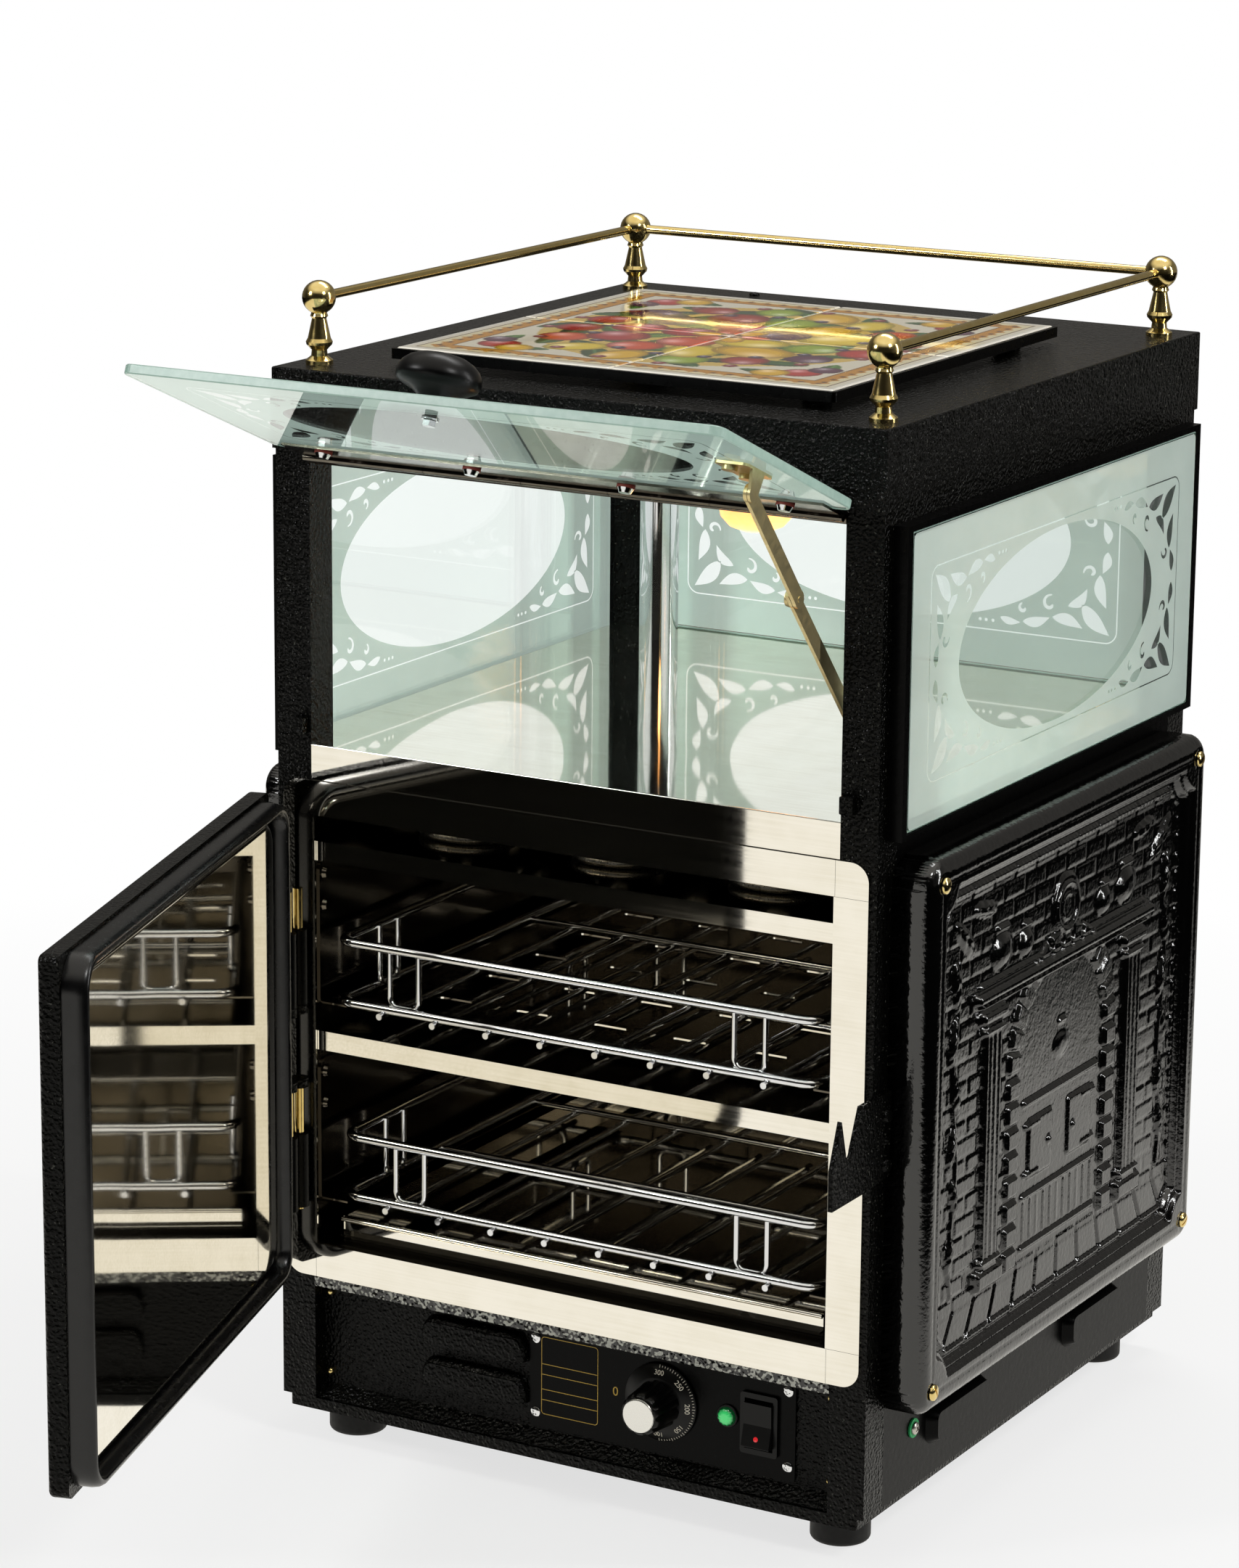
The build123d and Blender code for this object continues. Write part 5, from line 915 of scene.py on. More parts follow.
def paintTiles(x, y):
    # own design: a wreath of fruit and leaves on cream, a scalloped ochre border; x, y from the middle in millimetres
    colour = np.empty(x.shape + (3,))
    colour[:] = hexToLinear("#f0e7d0")[:3]

    def lay(mask, tone):
        m = np.clip(mask, 0, 1)[..., None]
        colour[:] = colour * (1 - m) + np.array(tone) * m

    far = np.maximum(np.abs(x), np.abs(y))
    along = np.where(np.abs(x) > np.abs(y), y, x)
    radius = np.hypot(x, y)
    mist = np.clip(1 - radius / 105, 0, 1)
    lay(mist * 0.55, hexToLinear("#e6cf8e")[:3])
    lay((far > 128) & (far < 143), hexToLinear("#cf8d1c")[:3])
    lay((far > 128) & (far < 143) & (np.hypot((along % 12) - 6, (far - 143)) < 6.4), hexToLinear("#f0e2b6")[:3])
    lay((far > 133) & (far < 137) & ((along % 12) < 4), hexToLinear("#5d3413")[:3])
    lay(np.abs(far - 127) < 0.9, hexToLinear("#5d3413")[:3])
    lay(np.abs(far - 144) < 0.7, hexToLinear("#5d3413")[:3])

    def leafAt(cx, cy, length, width, turn, tone):
        c, s = math.cos(turn), math.sin(turn)
        lu = ((x - cx) * c + (y - cy) * s) / (length / 2)
        lv = (-(x - cx) * s + (y - cy) * c) / (width / 2)
        inside = 1 - lu ** 2 - np.abs(lv) ** 1.5
        shade = 0.75 + 0.35 * lv
        base = np.array(hexToLinear(tone)[:3])
        m = (inside > 0)[..., None]
        vein = (np.abs(lv) < 0.09)[..., None] & m
        colour[:] = np.where(m, base * shade[..., None], colour)
        colour[:] = np.where(vein, base * 1.8 + 0.05, colour)

    def fruitAt(cx, cy, size, tone, stretch=1.0, turn=0.0):
        c, s = math.cos(turn), math.sin(turn)
        lu = ((x - cx) * c + (y - cy) * s) / (size * stretch)
        lv = (-(x - cx) * s + (y - cy) * c) / size
        d = np.hypot(lu, lv)
        base = np.array(hexToLinear(tone)[:3])
        lift = np.clip(1 - np.hypot(lu + 0.32, lv - 0.36) / 0.75, 0, 1)
        rim = np.clip((d - 0.6) / 0.4, 0, 1)
        shade = base[None, None] * (1.05 - 0.62 * rim[..., None]) + 0.55 * (lift ** 2)[..., None]
        colour[:] = np.where((d < 1)[..., None], shade, colour)

    greens = ("#2f5c1c", "#4c7d28", "#234a22", "#6c8f30")
    lay((radius < 122) * 1.0, hexToLinear("#e3bf62")[:3])
    for k in range(46):
        a = 2 * math.pi * k / 46
        ring = (112, 74, 100, 52)[k % 4]
        leafAt(ring * math.cos(a), ring * math.sin(a), 44, 18, a + (0.9, 2.1, 1.5, 0.2)[k % 4], greens[k % 4])
    fruits = ("#b3161c", "#edb818", "#5a1742", "#dc4a12", "#9bb320", "#c01c14", "#f0cf30", "#a82414")
    for ring, count, size in ((104, 16, 15.5), (70, 11, 18.5), (34, 5, 17.5)):
        for k in range(count):
            a = 2 * math.pi * (k + 0.5) / count
            tone = fruits[(k * 3 + int(ring)) % 8]
            stretch = 1.4 if tone in ("#edb818", "#f0cf30") else 1.0
            at = ring + 4 * math.cos(3 * a)
            fruitAt(at * math.cos(a), at * math.sin(a), size if k % 3 else size * 1.12, tone, stretch, a * 1.7)
    for k in range(34):
        a = 2 * math.pi * (k + 0.2) / 34
        at = 120 - 33 * (k % 2)
        fruitAt(at * math.cos(a), at * math.sin(a), 5.0, ("#8c1420", "#3c1440")[k % 2])
    for k in range(6):
        a = 2 * math.pi * k / 6
        fruitAt(15 * math.cos(a), 15 * math.sin(a), 8.5, ("#d95a14", "#efb020")[k % 2], 1.5, a)
    fruitAt(0, 0, 8, "#8c5a16")
    for sx in (-1, 1):
        for sy in (-1, 1):
            leafAt(sx * 84, sy * 114, 34, 13, 0.2 * sx * sy, greens[0])
            leafAt(sx * 114, sy * 84, 34, 13, 1.4 * sx * sy, greens[1])
            for k, (dx, dy) in enumerate(((106, 106), (90, 115), (115, 90))):
                fruitAt(sx * dx, sy * dy, 14 - k * 1.5, ("#c01c14", "#edb818", "#5a1742")[k])
    lay((far > 148.5) | (np.minimum(np.abs(x), np.abs(y)) < 1.6), hexToLinear("#f7f2e4")[:3])
    return colour


def makeTiles():
    low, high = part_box("tiles")
    cx, cy, topZ = (low.x + high.x) / 2, (low.y + high.y) / 2, high.z
    side, step = tileSet["side"], tileSet["step"]
    count = int(side / step) + 1
    line = np.linspace(-side / 2, side / 2, count)
    pieces, paints = [], []
    for sx in (-1, 1):
        for sy in (-1, 1):
            ox, oy = sx * (side + tileSet["gap"]) / 2, sy * (side + tileSet["gap"]) / 2
            u, v = np.meshgrid(line, line, indexing="ij")
            near = np.clip(np.minimum(side / 2 - np.abs(u), side / 2 - np.abs(v)), 0, tileSet["edge"])
            drop = tileSet["edge"] - np.sqrt(np.clip(tileSet["edge"] ** 2 - (tileSet["edge"] - near) ** 2, 0, None))
            z = topZ - drop * mm * 0.8
            top = np.stack([cx + (ox + u) * mm, cy + (oy + v) * mm, z], -1).reshape(-1, 3)
            paint = paintTiles(ox + u, oy + v).reshape(-1, 3)
            index = np.arange(count * count).reshape(count, count)
            faces = [(int(index[i, j]), int(index[i + 1, j]), int(index[i + 1, j + 1]), int(index[i, j + 1]))
                     for i in range(count - 1) for j in range(count - 1)]
            ring = list(index[:, 0]) + list(index[-1, 1:]) + list(index[-2::-1, -1]) + list(index[0, -2:0:-1])
            base = len(top)
            skirt = top[ring].copy()
            skirt[:, 2] = topZ - tileSet["thick"] * mm
            for k in range(len(ring)):
                n = (k + 1) % len(ring)
                faces.append((int(ring[k]), base + k, base + n, int(ring[n])))
            faces.append(tuple(base + k for k in range(len(ring))))
            piece = addMesh("tile", np.vstack([top, skirt]), faces)
            pieces.append(piece)
            paints.append(np.vstack([paint, np.tile(hexToLinear("#d8c9a8")[:3], (len(ring), 1))]))
    whole = join("pictureTiles", pieces)
    fixed = bmesh.new()
    fixed.from_mesh(whole.data)
    bmesh.ops.recalc_face_normals(fixed, faces=fixed.faces)
    fixed.to_mesh(whole.data)
    fixed.free()
    layer = whole.data.color_attributes.new("tilePaint", "FLOAT_COLOR", "POINT")
    flat = np.hstack([np.vstack(paints), np.ones((sum(len(p) for p in paints), 1))]).astype(np.float32)
    layer.data.foreach_set("color", flat.ravel())
    whole.data.polygons.foreach_set("use_smooth", [True] * len(whole.data.polygons))
    finishPiece(whole, "tile_lift", finish["tile"], ["tiles"])


makeTiles()
print("stage: tiles")

# screws placed by Geometry Nodes
def headMesh(radius, rise, slotWidth, drive):
    # one domed head with a cut recess, about its local z, in metres
    profile = [(radius, 0.0), (radius, rise * 0.25)]
    profile += [(radius * math.cos(a), rise * (0.25 + 0.75 * math.sin(a))) for a in (0.35, 0.7, 1.05, 1.3)] + [(0.02, rise)]
    head = revolve("head", profile, Matrix.Identity(4), 24, True)
    if drive:
        cutters = []
        turns = (0,) if drive == "slot" else (0, 90)
        length = radius * (2.4 if drive == "slot" else 1.05)
        for turn in turns:
            cutter = prism("cutter", roundedLoop(length, slotWidth, 0.1, 1), rise, Matrix.Rotation(math.radians(turn), 4, "Z") @ Matrix.Translation((0, 0, rise * 0.55 * mm)))
            cutters.append(cutter)
        for cutter in cutters:
            cut = head.modifiers.new("cut", "BOOLEAN")
            cut.operation, cut.object, cut.solver = "DIFFERENCE", cutter, "EXACT"
            head = plainCopy(head)
            bpy.data.objects.remove(cutter)
        head = sharpen(head, 30)
    return head


def scatterHeads(name, places, head, body, material, replaces=()):
    # a tree that puts one head on each marked point and turns it along the point's normal
    carrier = addMesh(name + "Points", [p[0] for p in places], [], smooth=False)
    carrier.data.attributes.new("facing", "FLOAT_VECTOR", "POINT")
    carrier.data.attributes.new("spin", "FLOAT", "POINT")
    carrier.data.attributes["facing"].data.foreach_set("vector", [c for p in places for c in p[1]])
    carrier.data.attributes["spin"].data.foreach_set("value", [math.radians(p[2]) for p in places])
    tree = bpy.data.node_groups.new(name + "Tree", "GeometryNodeTree")
    tree.interface.new_socket("Geometry", in_out="INPUT", socket_type="NodeSocketGeometry")
    size = tree.interface.new_socket("Head size", in_out="INPUT", socket_type="NodeSocketFloat")
    tree.interface.new_socket("Geometry", in_out="OUTPUT", socket_type="NodeSocketGeometry")
    enter = addNode(tree, "NodeGroupInput")
    leave = addNode(tree, "NodeGroupOutput")
    info = addNode(tree, "GeometryNodeObjectInfo", {"Object": head})
    facing = addNode(tree, "GeometryNodeInputNamedAttribute", {"Name": "facing"}, data_type="FLOAT_VECTOR")
    spin = addNode(tree, "GeometryNodeInputNamedAttribute", {"Name": "spin"}, data_type="FLOAT")
    align = addNode(tree, "FunctionNodeAlignRotationToVector", {"Vector": facing.outputs[0]}, axis="Z")
    turn = addNode(tree, "FunctionNodeAxisAngleToRotation", {"Axis": (0, 0, 1), "Angle": spin.outputs[0]})
    both = addNode(tree, "FunctionNodeRotateRotation", {"Rotation": align.outputs[0], "Rotate By": turn.outputs[0]}, rotation_space="LOCAL")
    put = addNode(tree, "GeometryNodeInstanceOnPoints", {"Points": enter.outputs[0], "Instance": info.outputs["Geometry"],
                                                        "Rotation": both.outputs[0], "Scale": enter.outputs[1]})
    real = addNode(tree, "GeometryNodeRealizeInstances", {"Geometry": put.outputs[0]})
    paint = addNode(tree, "GeometryNodeSetMaterial", {"Geometry": real.outputs[0], "Material": material})
    tree.links.new(paint.outputs[0], leave.inputs[0])
    modifier = carrier.modifiers.new("heads", "NODES")
    modifier.node_group = tree
    modifier[size.identifier] = 1.0
    carrier.name = name
    piece = plainCopy(carrier)
    bpy.data.objects.remove(head)
    return finishPiece(piece, body, material, replaces)


def makeScrews():
    low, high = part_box("panel_screws")
    places = []
    for sign in (-1, 1):
        for y in (low.y + 0.0052, high.y - 0.0052):
            for z in (low.z + 0.0052, high.z - 0.0052):
                places.append(((sign * (high.x - 0.0028), y, z), (sign, 0, 0), 20 + 47 * len(places)))
    scatterHeads("brassPanelScrews", places, headMesh(5.2, 2.7, 1.1, "slot"), "cabinet", finish["brass"], ["panel_screws"])
    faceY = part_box("control_plate")[0].y
    low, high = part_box("control_plate")
    spots = [(low.x + 0.0045, high.z - 0.0077), (low.x + 0.0045, low.z + 0.0095), (high.x - 0.005, high.z - 0.0077), (high.x - 0.005, low.z + 0.0095)]
    places = [((x, faceY, z), (0, -1, 0), 15 + 31 * i) for i, (x, z) in enumerate(spots)]
    scatterHeads("plateScrews", places, headMesh(3.6, 1.6, 1.5, "cross"), "cabinet", finish["chrome"], ["cover_fixings"])
    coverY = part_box("control_plate")[1].y
    places = [((x, coverY, z), (0, -1, 0), 0) for x in (-0.183, 0.183) for z in (0.1005, 0.046)]
    scatterHeads("coverPins", places, headMesh(2.4, 3.0, 0.5, ""), "cabinet", finish["brass"])
    places = [((-0.1106, midY + 0.2113, roofZ), (0, 0, 1), 30)]
    scatterHeads("roofScrew", places, headMesh(3.6, 2.0, 0.9, "cross"), "cabinet", finish["satin"])


makeScrews()
print("stage: screws")

# controls
dial = {"skirt": 25.5, "rim": 1.6, "top": 16.4, "rise": 5.0, "grip": 24.0, "ticks": 41, "textSize": 4.6}


def textMesh(name, words, size, place, body, material):
    data = bpy.data.curves.new(name, "FONT")
    data.body, data.size, data.extrude = words, size * mm, 0.00006
    data.align_x, data.align_y = "CENTER", "CENTER"
    words = bpy.data.objects.new(name, data)
    bpy.context.scene.collection.objects.link(words)
    words = plainCopy(words)
    words.data.transform(place)
    return finishPiece(words, body, material)


def radialTicks(name, tick, count, radius, height, slope, place):
    # a tree that fans ticks over a half turn, every fifth one longer, on a cone of the given slope
    carrier = addMesh(name + "Seed", [(0, 0, 0)], [], smooth=False)
    tree = bpy.data.node_groups.new(name + "Tree", "GeometryNodeTree")
    tree.interface.new_socket("Geometry", in_out="INPUT", socket_type="NodeSocketGeometry")
    number = tree.interface.new_socket("Count", in_out="INPUT", socket_type="NodeSocketInt")
    reach = tree.interface.new_socket("Radius", in_out="INPUT", socket_type="NodeSocketFloat")
    tree.interface.new_socket("Geometry", in_out="OUTPUT", socket_type="NodeSocketGeometry")
    enter = addNode(tree, "NodeGroupInput")
    leave = addNode(tree, "NodeGroupOutput")

    def sums(kind, first, second=0.0):
        return addNode(tree, "ShaderNodeMath", {0: first, 1: second}, operation=kind).outputs[0]

    index = addNode(tree, "GeometryNodeInputIndex").outputs[0]
    share = sums("DIVIDE", index, sums("SUBTRACT", enter.outputs["Count"], 1.0))
    angle = sums("SUBTRACT", sums("MULTIPLY", share, math.pi), math.pi / 2)
    spot = addNode(tree, "ShaderNodeCombineXYZ", {0: sums("MULTIPLY", sums("COSINE", angle), enter.outputs["Radius"]),
                                                 1: sums("MULTIPLY", sums("SINE", angle), enter.outputs["Radius"]), 2: height * mm})
    points = addNode(tree, "GeometryNodePoints", {"Count": enter.outputs["Count"], "Position": spot.outputs[0]})
    euler = addNode(tree, "ShaderNodeCombineXYZ", {0: 0.0, 1: slope, 2: angle})
    turn = addNode(tree, "FunctionNodeEulerToRotation", {0: euler.outputs[0]})
    long = sums("LESS_THAN", sums("MODULO", index, 5.0), 0.5)
    scale = addNode(tree, "ShaderNodeCombineXYZ", {0: sums("ADD", 1.0, sums("MULTIPLY", long, 0.7)), 1: 1.0, 2: 1.0})
    info = addNode(tree, "GeometryNodeObjectInfo", {"Object": tick})
    put = addNode(tree, "GeometryNodeInstanceOnPoints", {"Points": points.outputs[0], "Instance": info.outputs["Geometry"],
                                                        "Rotation": turn.outputs[0], "Scale": scale.outputs[0]})
    real = addNode(tree, "GeometryNodeRealizeInstances", {"Geometry": put.outputs[0]})
    paint = addNode(tree, "GeometryNodeSetMaterial", {"Geometry": real.outputs[0], "Material": finish["cream"]})
    tree.links.new(paint.outputs[0], leave.inputs[0])
    modifier = carrier.modifiers.new("ticks", "NODES")
    modifier.node_group = tree
    modifier[number.identifier] = count
    modifier[reach.identifier] = radius * mm
    carrier.name = name
    piece = plainCopy(carrier)
    piece.data.transform(place)
    bpy.data.objects.remove(tick)
    return finishPiece(piece, "dial", finish["cream"])


def makeDial():
    low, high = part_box("thermostat_knob")
    centre = Vector(((low.x + high.x) / 2, high.y, (low.z + high.z) / 2))
    place = axesAt(centre, (1, 0, 0), (0, 0, 1))       # local z points to the viewer, -y
    skirt = revolve("dialSkirt", [(3.1, 0.05), (dial["skirt"] - 0.2, 0.05), (dial["skirt"], 0.3), (dial["skirt"], dial["rim"]),
                                  (dial["skirt"] - 0.4, dial["rim"] + 0.4), (dial["top"] + 1, dial["rise"] - 0.4), (dial["top"], dial["rise"]), (3.1, dial["rise"])], place, 96)
    # fluted grip: ten broad hollows that run out at the top
    levels = [(dial["rise"] - 0.3, 1.0, 15.6), (dial["rise"] + 2, 1.0, 15.2), (dial["rise"] + 12, 1.0, 14.4),
              (dial["rise"] + 20, 0.9, 13.8), (dial["rise"] + 22.6, 0.5, 13.0), (dial["rise"] + 23.6, 0.1, 12.0), (dial["rise"] + 23.8, 0.0, 10.6)]
    steps = 120
    points, faces = [], []
    for z, flute, radius in levels:
        for i in range(steps):
            a = 2 * math.pi * i / steps
            wave = max(0.0, math.cos(10 * a)) ** 1.5
            r = radius - 1.9 * flute * wave
            points.append(place @ Vector((r * mm * math.cos(a), r * mm * math.sin(a), z * mm)))
    for j in range(len(levels) - 1):
        for i in range(steps):
            k = (i + 1) % steps
            faces.append((j * steps + i, j * steps + k, (j + 1) * steps + k, (j + 1) * steps + i))
    faces.append(tuple((len(levels) - 1) * steps + i for i in range(steps)))
    grip = sharpen(fixNormals(addMesh("dialGrip", points, faces)), 50)
    knob = join("dialKnob", [skirt, grip])
    finishPiece(knob, "dial", finish["phenolic"], ["thermostat_knob"])
    cap = revolve("dialCap", [(10.7, dial["rise"] + 23.2), (11.0, dial["rise"] + 24.0), (10.7, dial["rise"] + 24.7), (10.0, dial["rise"] + 25.0),
                              (9.0, dial["rise"] + 24.8), (0.02, dial["rise"] + 24.8)], place, 64)
    finishPiece(cap, "dial", finish["cap"], ["knob_cap"])
    # scale on the sloping skirt; off mark at nine o'clock when at rest
    slope = math.atan2(dial["rise"] - 0.4 - dial["rim"] - 0.4, dial["skirt"] - 0.4 - dial["top"] - 1)
    for words, clock in (("100", 180), ("150", 135), ("200", 90), ("250", 45), ("300", 0)):
        a = math.radians(90 - clock)
        out = Vector((math.cos(a), math.sin(a), 0))
        along = out.cross(Vector((0, 0, 1)))
        radius = 20.2
        z = dial["rim"] + 0.4 + (dial["skirt"] - 0.4 - radius) * math.tan(slope) + 0.05
        up = (out * math.cos(slope) - Vector((0, 0, 1)) * math.sin(slope)).normalized()
        local = axesAt(out * radius * mm + Vector((0, 0, z * mm)), along, up)
        textMesh("scale" + words, words, dial["textSize"], place @ local, "dial", finish["cream"])
    tick = prism("tick", [(-0.6, -0.16), (0.6, -0.16), (0.6, 0.16), (-0.6, 0.16)], 0.12, Matrix.Identity(4))
    radialTicks("scaleTicks", tick, dial["ticks"], 24.3, dial["rim"] + 0.95, slope, place)
    low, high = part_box("control_plate")
    face = axesAt(Vector((0, low.y - 0.00003, 0)), (1, 0, 0), (0, 0, 1))
    mark = textMesh("offMark", "0", 8.4, face @ Matrix.Translation((0.0312, 0.0745, 0)), "cabinet", finish["gold"])
    # bare ruled frame where a rating label would sit
    left, right, bottom, top = low.x + 0.0085, low.x + 0.0500, low.z + 0.009, high.z - 0.006
    rules = [(left, right, top - 0.0185), (left, right, top - 0.0255), (left, right, bottom + 0.0165), (left, right, bottom + 0.0095)]
    bars = [prism("bar", [(x0 / mm, z / mm), (x1 / mm, z / mm), (x1 / mm, z / mm + 0.45), (x0 / mm, z / mm + 0.45)], 0.05, face) for x0, x1, z in rules]
    outer = roundedLoop((right - left) / mm, (top - bottom) / mm, 2.4, 5)
    inner = roundedLoop((right - left) / mm - 0.9, (top - bottom) / mm - 0.9, 1.95, 5)
    centre = face @ Matrix.Translation(((left + right) / 2, (bottom + top) / 2, 0.00004))
    rim = [centre @ Vector((x * mm, y * mm, 0)) for x, y in outer + inner]
    count = len(outer)
    bars.append(addMesh("rim", rim, [(i, (i + 1) % count, count + (i + 1) % count, count + i) for i in range(count)], smooth=False))
    finishPiece(join("labelFrame", bars), "cabinet", finish["gold"])


hoodShape = {"sweep": 10, "rows": 8}


def hoodMesh(name, width, height, out, place):
    # pressed hood: half-round top and ends, open along its flat lower edge; local x across, y up, z outward
    points, faces = [], []
    loop = []
    r = min(height * 0.62, width / 4)
    for i in range(hoodShape["sweep"] + 1):
        a = math.radians(180 - 90 * i / hoodShape["sweep"])
        loop.append((-width / 2 + r + r * math.cos(a), height - r + r * math.sin(a)))
    for i in range(hoodShape["sweep"] + 1):
        a = math.radians(90 - 90 * i / hoodShape["sweep"])
        loop.append((width / 2 - r + r * math.cos(a), height - r + r * math.sin(a)))
    loop = [(-width / 2, 0.0)] + loop + [(width / 2, 0.0)]
    count = len(loop)
    rows = hoodShape["rows"]
    for j in range(rows + 1):
        t = j / rows
        pull = 1 - math.sqrt(max(0.0, 1 - t ** 2.2)) if j < rows else 1.0
        rise = out * math.sin(math.pi / 2 * t) ** 0.8
        for x, y in loop:
            cx = max(-width / 2 + r, min(width / 2 - r, x))
            cy = 0.0
            k = 1 - 0.82 * pull
            points.append(place @ Vector(((cx + (x - cx) * k) * mm, (cy + (y - cy) * k) * mm, rise * mm)))
    for j in range(rows):
        for i in range(count - 1):
            faces.append((j * count + i, j * count + i + 1, (j + 1) * count + i + 1, (j + 1) * count + i))
    last = rows * count
    faces.append(tuple(last + i for i in range(count)))
    hood = addMesh(name, points, faces)
    return hood


def makeHoods():
    low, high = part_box("control_cover")
    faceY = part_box("control_plate")[1].y
    front = [hoodMesh("hood", 78.0, 18.0, 8.0, axesAt((-0.0715, faceY + 0.0002, z), (1, 0, 0), (0, 0, 1))) for z in (0.0825, 0.0545)]
    for hood in front:
        fixNormals(hood)
    finishPiece(join("frontHoods", front), "cabinet", finish["coat"])
    # the crazed lip that carries the oven frame
    lipLow = 0.1075
    bar = prism("powderLip", roundedLoop((high.x - low.x) / mm, 7.0, 1.2, 4), 1.2,
                axesAt((0, low.y, lipLow + 0.0035), (1, 0, 0), (0, 0, 1)), 0.4)
    finishPiece(bar, "cabinet", finish["lip"])


def makeLampAndSwitch():
    low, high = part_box("pilot_lamp")
    centre = Vector(((low.x + high.x) / 2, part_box("control_plate")[0].y, (low.z + high.z) / 2))
    place = axesAt(centre, (1, 0, 0), (0, 0, 1))
    bezel = revolve("lampBezel", [(4.9, -2.0), (4.9, 0.02), (7.4, 0.02), (7.4, 1.2), (7.0, 1.6), (6.3, 1.7), (6.2, 1.0), (4.9, 0.9)], place, 40)
    finishPiece(bezel, "cabinet", finish["phenolic"])
    rows = [(6.15, 0.9, 0.0), (6.15, 2.2, 0.35), (5.6, 3.6, 0.5), (4.2, 4.6, 0.45), (2.2, 5.0, 0.2), (0.05, 5.1, 0.0)]
    points, faces, steps = [], [], 72
    for radius, z, ripple in rows:
        for i in range(steps):
            a = 2 * math.pi * i / steps
            r = radius - ripple * (0.5 + 0.5 * math.cos(12 * a))
            points.append(place @ Vector((r * mm * math.cos(a), r * mm * math.sin(a), z * mm)))
    for j in range(len(rows) - 1):
        for i in range(steps):
            k = (i + 1) % steps
            faces.append((j * steps + i, j * steps + k, (j + 1) * steps + k, (j + 1) * steps + i))
    lens = fixNormals(addMesh("lampLens", points, faces))
    finishPiece(lens, "cabinet", finish["green"], ["pilot_lamp"])
    low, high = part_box("rocker")
    dot = revolve("rockerDot", [(0.02, 0.6), (1.6, 0.5), (2.0, 0.0), (2.0, -0.8)], axesAt(((low.x + high.x) / 2, low.y + 0.0017, low.z + 0.0060), (1, 0, 0), (0, 0.24, 0.97)), 24)
    finishPiece(dot, "switch", finish["red"])
    low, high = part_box("earth_screw")
    centre = Vector((postHigh.x, (low.y + high.y) / 2, (low.z + high.z) / 2))
    place = axesAt(centre, (0, 1, 0), (0, 0, 1))
    washer = revolve("earthWasher", [(4.0, 0.05), (6.2, 0.05), (6.2, 1.2), (4.0, 1.2)], place, 32)
    finishPiece(washer, "cabinet", finish["earthGreen"], ["earth_screw"])
    scatterHeads("earthHead", [(tuple(centre + Vector((0.0012, 0, 0))), (1, 0, 0), 40)], headMesh(4.2, 2.5, 1.0, "cross"), "cabinet", finish["steel"])


makeDial()
makeHoods()
makeLampAndSwitch()
print("stage: controls")


# display lamp
def makeDisplayLamp():
    low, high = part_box("display_lamp")
    place = axesAt(((low.x + high.x) / 2, (low.y + high.y) / 2, high.z), (1, 0, 0), (0, -1, 0))
    holder = revolve("lampHolder", [(18.5, 0.0), (19.0, 1.0), (19.0, 6.0), (16.0, 12.0), (15.4, 20.0), (14.6, 22.5), (12.5, 23.0), (12.5, 20.0)], place, 48)
    finishPiece(holder, "cabinet", finish["porcelain"])
    glass = revolve("lampBulb", [(12.2, 20.0), (13.4, 26.0), (17.5, 33.0), (22.4, 40.0), (24.2, 47.0), (22.8, 54.0), (17.5, 60.0), (9.5, 63.2), (0.02, 63.9)], place, 48)
    finishPiece(glass, "cabinet", finish["bulb"], ["display_lamp"])
    data = bpy.data.lights.new("lampGlow", "POINT")
    data.energy, data.shadow_soft_size, data.color = 0.25, 0.03, hexToLinear("#ffb46a")[:3]
    glow = bpy.data.objects.new("lampGlow", data)
    glow.location = ((low.x + high.x) / 2, (low.y + high.y) / 2, low.z - 0.02)
    bpy.context.scene.collection.objects.link(glow)


makeDisplayLamp()
print("stage: display lamp")


# floor, world and lights
studio = {"floor": 14.0, "lights": (
    ("keyBox", 30.0, (-1.6, -2.0, 1.9), (0.6, 0.6), (0, 0.1, 0.4)),
    ("edgeStrip", 14.0, (1.9, 0.9, 1.0), (0.1, 1.5), (0.1, 0.2, 0.4)),
    ("topBox", 14.0, (0.0, 0.9, 2.3), (1.4, 0.5), (0, 0.1, 0.5)),
    ("softBox", 15.0, (1.7, -0.6, 2.0), (0.45, 0.45), (0.1, 0.1, 0.35)),
)}


def ramp(tree, value, low, high, first=0.0, last=1.0):
    return addNode(tree, "ShaderNodeMapRange", {"Value": value, "From Min": low, "From Max": high, "To Min": first, "To Max": last}).outputs[0]


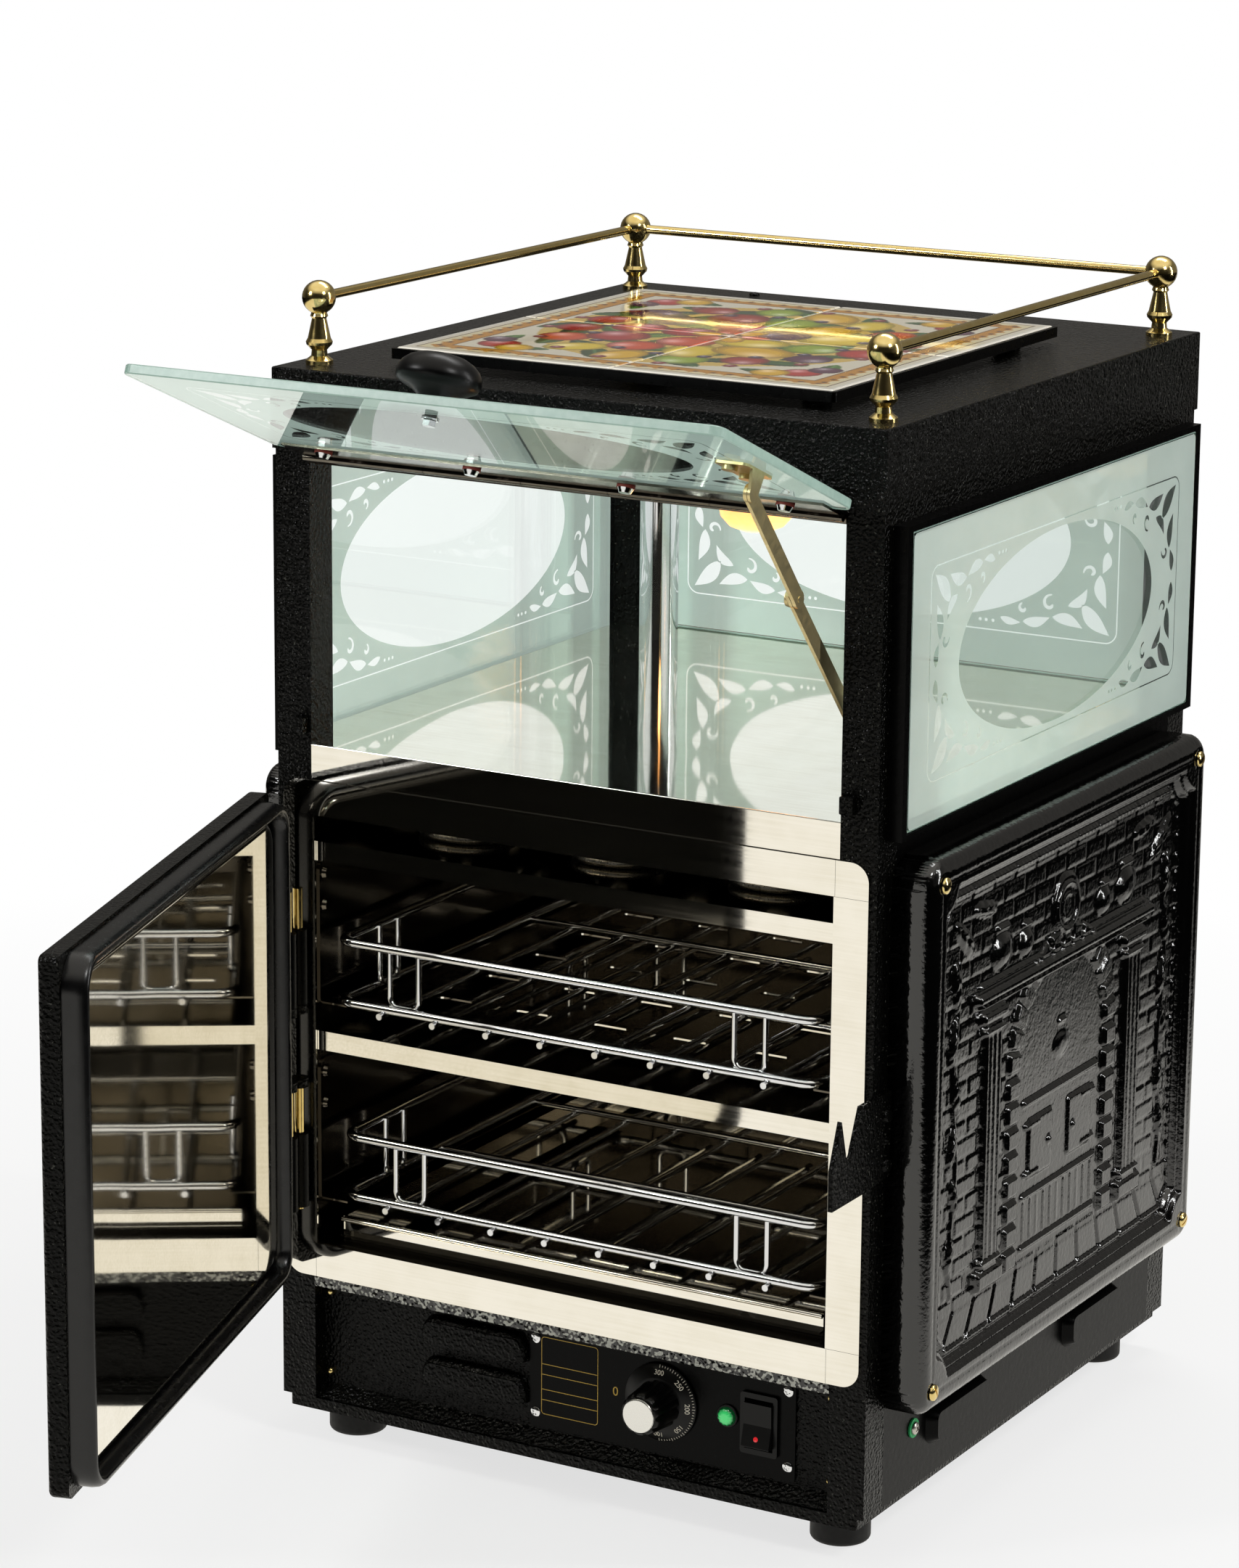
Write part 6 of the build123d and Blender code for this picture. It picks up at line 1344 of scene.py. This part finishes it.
def makeStudio():
    half = studio["floor"] / 2
    floor = addMesh("floor", [(-half, -half, -0.0005), (half, -half, -0.0005), (half, half, -0.0005), (-half, half, -0.0005)], [(0, 1, 2, 3)], smooth=False)
    material = bpy.data.materials.new("paperSweep")
    material.use_nodes = True
    tree = material.node_tree
    tree.nodes.clear()
    path = addNode(tree, "ShaderNodeLightPath")
    where = addNode(tree, "ShaderNodeTexCoord").outputs["Object"]
    axes = addNode(tree, "ShaderNodeSeparateXYZ", {0: where})
    reach = addNode(tree, "ShaderNodeVectorMath", {0: where}, operation="LENGTH").outputs["Value"]
    # the sheet fades to plain white away from the object, so that no horizon shows
    near = ramp(tree, reach, 0.5, 1.5, 0.72, 1.0)
    # what polished faces see of it: a warm white table between two dark edges
    left = ramp(tree, axes.outputs["X"], -1.9, -1.6)
    right = ramp(tree, axes.outputs["X"], 0.62, 0.8, 1.0, 0.0)
    back = ramp(tree, axes.outputs["Y"], 0.9, 1.3, 1.0, 0.25)
    table = addNode(tree, "ShaderNodeMath", {0: left, 1: right}, operation="MULTIPLY")
    table = addNode(tree, "ShaderNodeMath", {0: table.outputs[0], 1: back}, operation="MULTIPLY")
    mirrored = mixColours(tree, table.outputs[0], "#060605", "#fdfaf2")
    matte = addNode(tree, "ShaderNodeBsdfDiffuse", {"Color": hexToLinear("#f2f2f0")})
    paper = addNode(tree, "ShaderNodeEmission", {"Color": (1, 1, 1, 1), "Strength": 1.0})
    seen = addNode(tree, "ShaderNodeEmission", {"Color": mirrored, "Strength": 1.0})
    direct = addNode(tree, "ShaderNodeMath", {0: path.outputs["Is Camera Ray"], 1: path.outputs["Is Transmission Ray"]}, operation="MAXIMUM")
    share = addNode(tree, "ShaderNodeMath", {0: direct.outputs[0], 1: near}, operation="MULTIPLY")
    mix = addNode(tree, "ShaderNodeMixShader", {0: share.outputs[0], 1: matte.outputs[0], 2: paper.outputs[0]})
    mirrorOnly = addNode(tree, "ShaderNodeMath", {0: path.outputs["Is Glossy Ray"], 1: path.outputs["Is Transmission Ray"]}, operation="SUBTRACT", use_clamp=True)
    mix = addNode(tree, "ShaderNodeMixShader", {0: mirrorOnly.outputs[0], 1: mix.outputs[0], 2: seen.outputs[0]})
    addNode(tree, "ShaderNodeOutputMaterial", {"Surface": mix.outputs[0]})
    floor.data.materials.append(material)
    world = bpy.data.worlds.new("studio")
    bpy.context.scene.world = world
    world.use_nodes = True
    tree = world.node_tree
    tree.nodes.clear()
    parts = addNode(tree, "ShaderNodeSeparateXYZ", {0: addNode(tree, "ShaderNodeTexCoord").outputs["Generated"]})
    # reflections: a dark room in front, paler behind and overhead; soft light all round on matt faces
    back = ramp(tree, parts.outputs["Y"], -0.4, 0.9, 0.015, 0.2)
    over = ramp(tree, parts.outputs["Z"], 0.45, 0.8, 0.0, 1.1)
    shine = addNode(tree, "ShaderNodeMath", {0: back, 1: over}, operation="MAXIMUM")
    path = addNode(tree, "ShaderNodeLightPath")
    soft = addNode(tree, "ShaderNodeBackground", {"Color": (1, 1, 1, 1), "Strength": 0.3})
    gloss = addNode(tree, "ShaderNodeBackground", {"Color": hexToLinear("#fffaf0"), "Strength": shine.outputs[0]})
    white = addNode(tree, "ShaderNodeBackground", {"Color": (1, 1, 1, 1), "Strength": 1.0})
    seen = addNode(tree, "ShaderNodeMath", {0: path.outputs["Is Camera Ray"], 1: path.outputs["Is Transmission Ray"]}, operation="MAXIMUM")
    mix = addNode(tree, "ShaderNodeMixShader", {0: path.outputs["Is Glossy Ray"], 1: soft.outputs[0], 2: gloss.outputs[0]})
    mix = addNode(tree, "ShaderNodeMixShader", {0: seen.outputs[0], 1: mix.outputs[0], 2: white.outputs[0]})
    addNode(tree, "ShaderNodeOutputWorld", {"Surface": mix.outputs[0]})
    for name, energy, place, size, target in studio["lights"]:
        data = bpy.data.lights.new(name, "AREA")
        data.shape, data.size, data.size_y, data.energy = "RECTANGLE", size[0], size[1], energy
        lamp = bpy.data.objects.new(name, data)
        lamp.location = place
        lamp.rotation_euler = (Vector(target) - Vector(place)).to_track_quat("-Z", "Y").to_euler()
        bpy.context.scene.collection.objects.link(lamp)


makeStudio()
bpy.context.scene.view_settings.view_transform = "Standard"
bpy.context.view_layer.update()
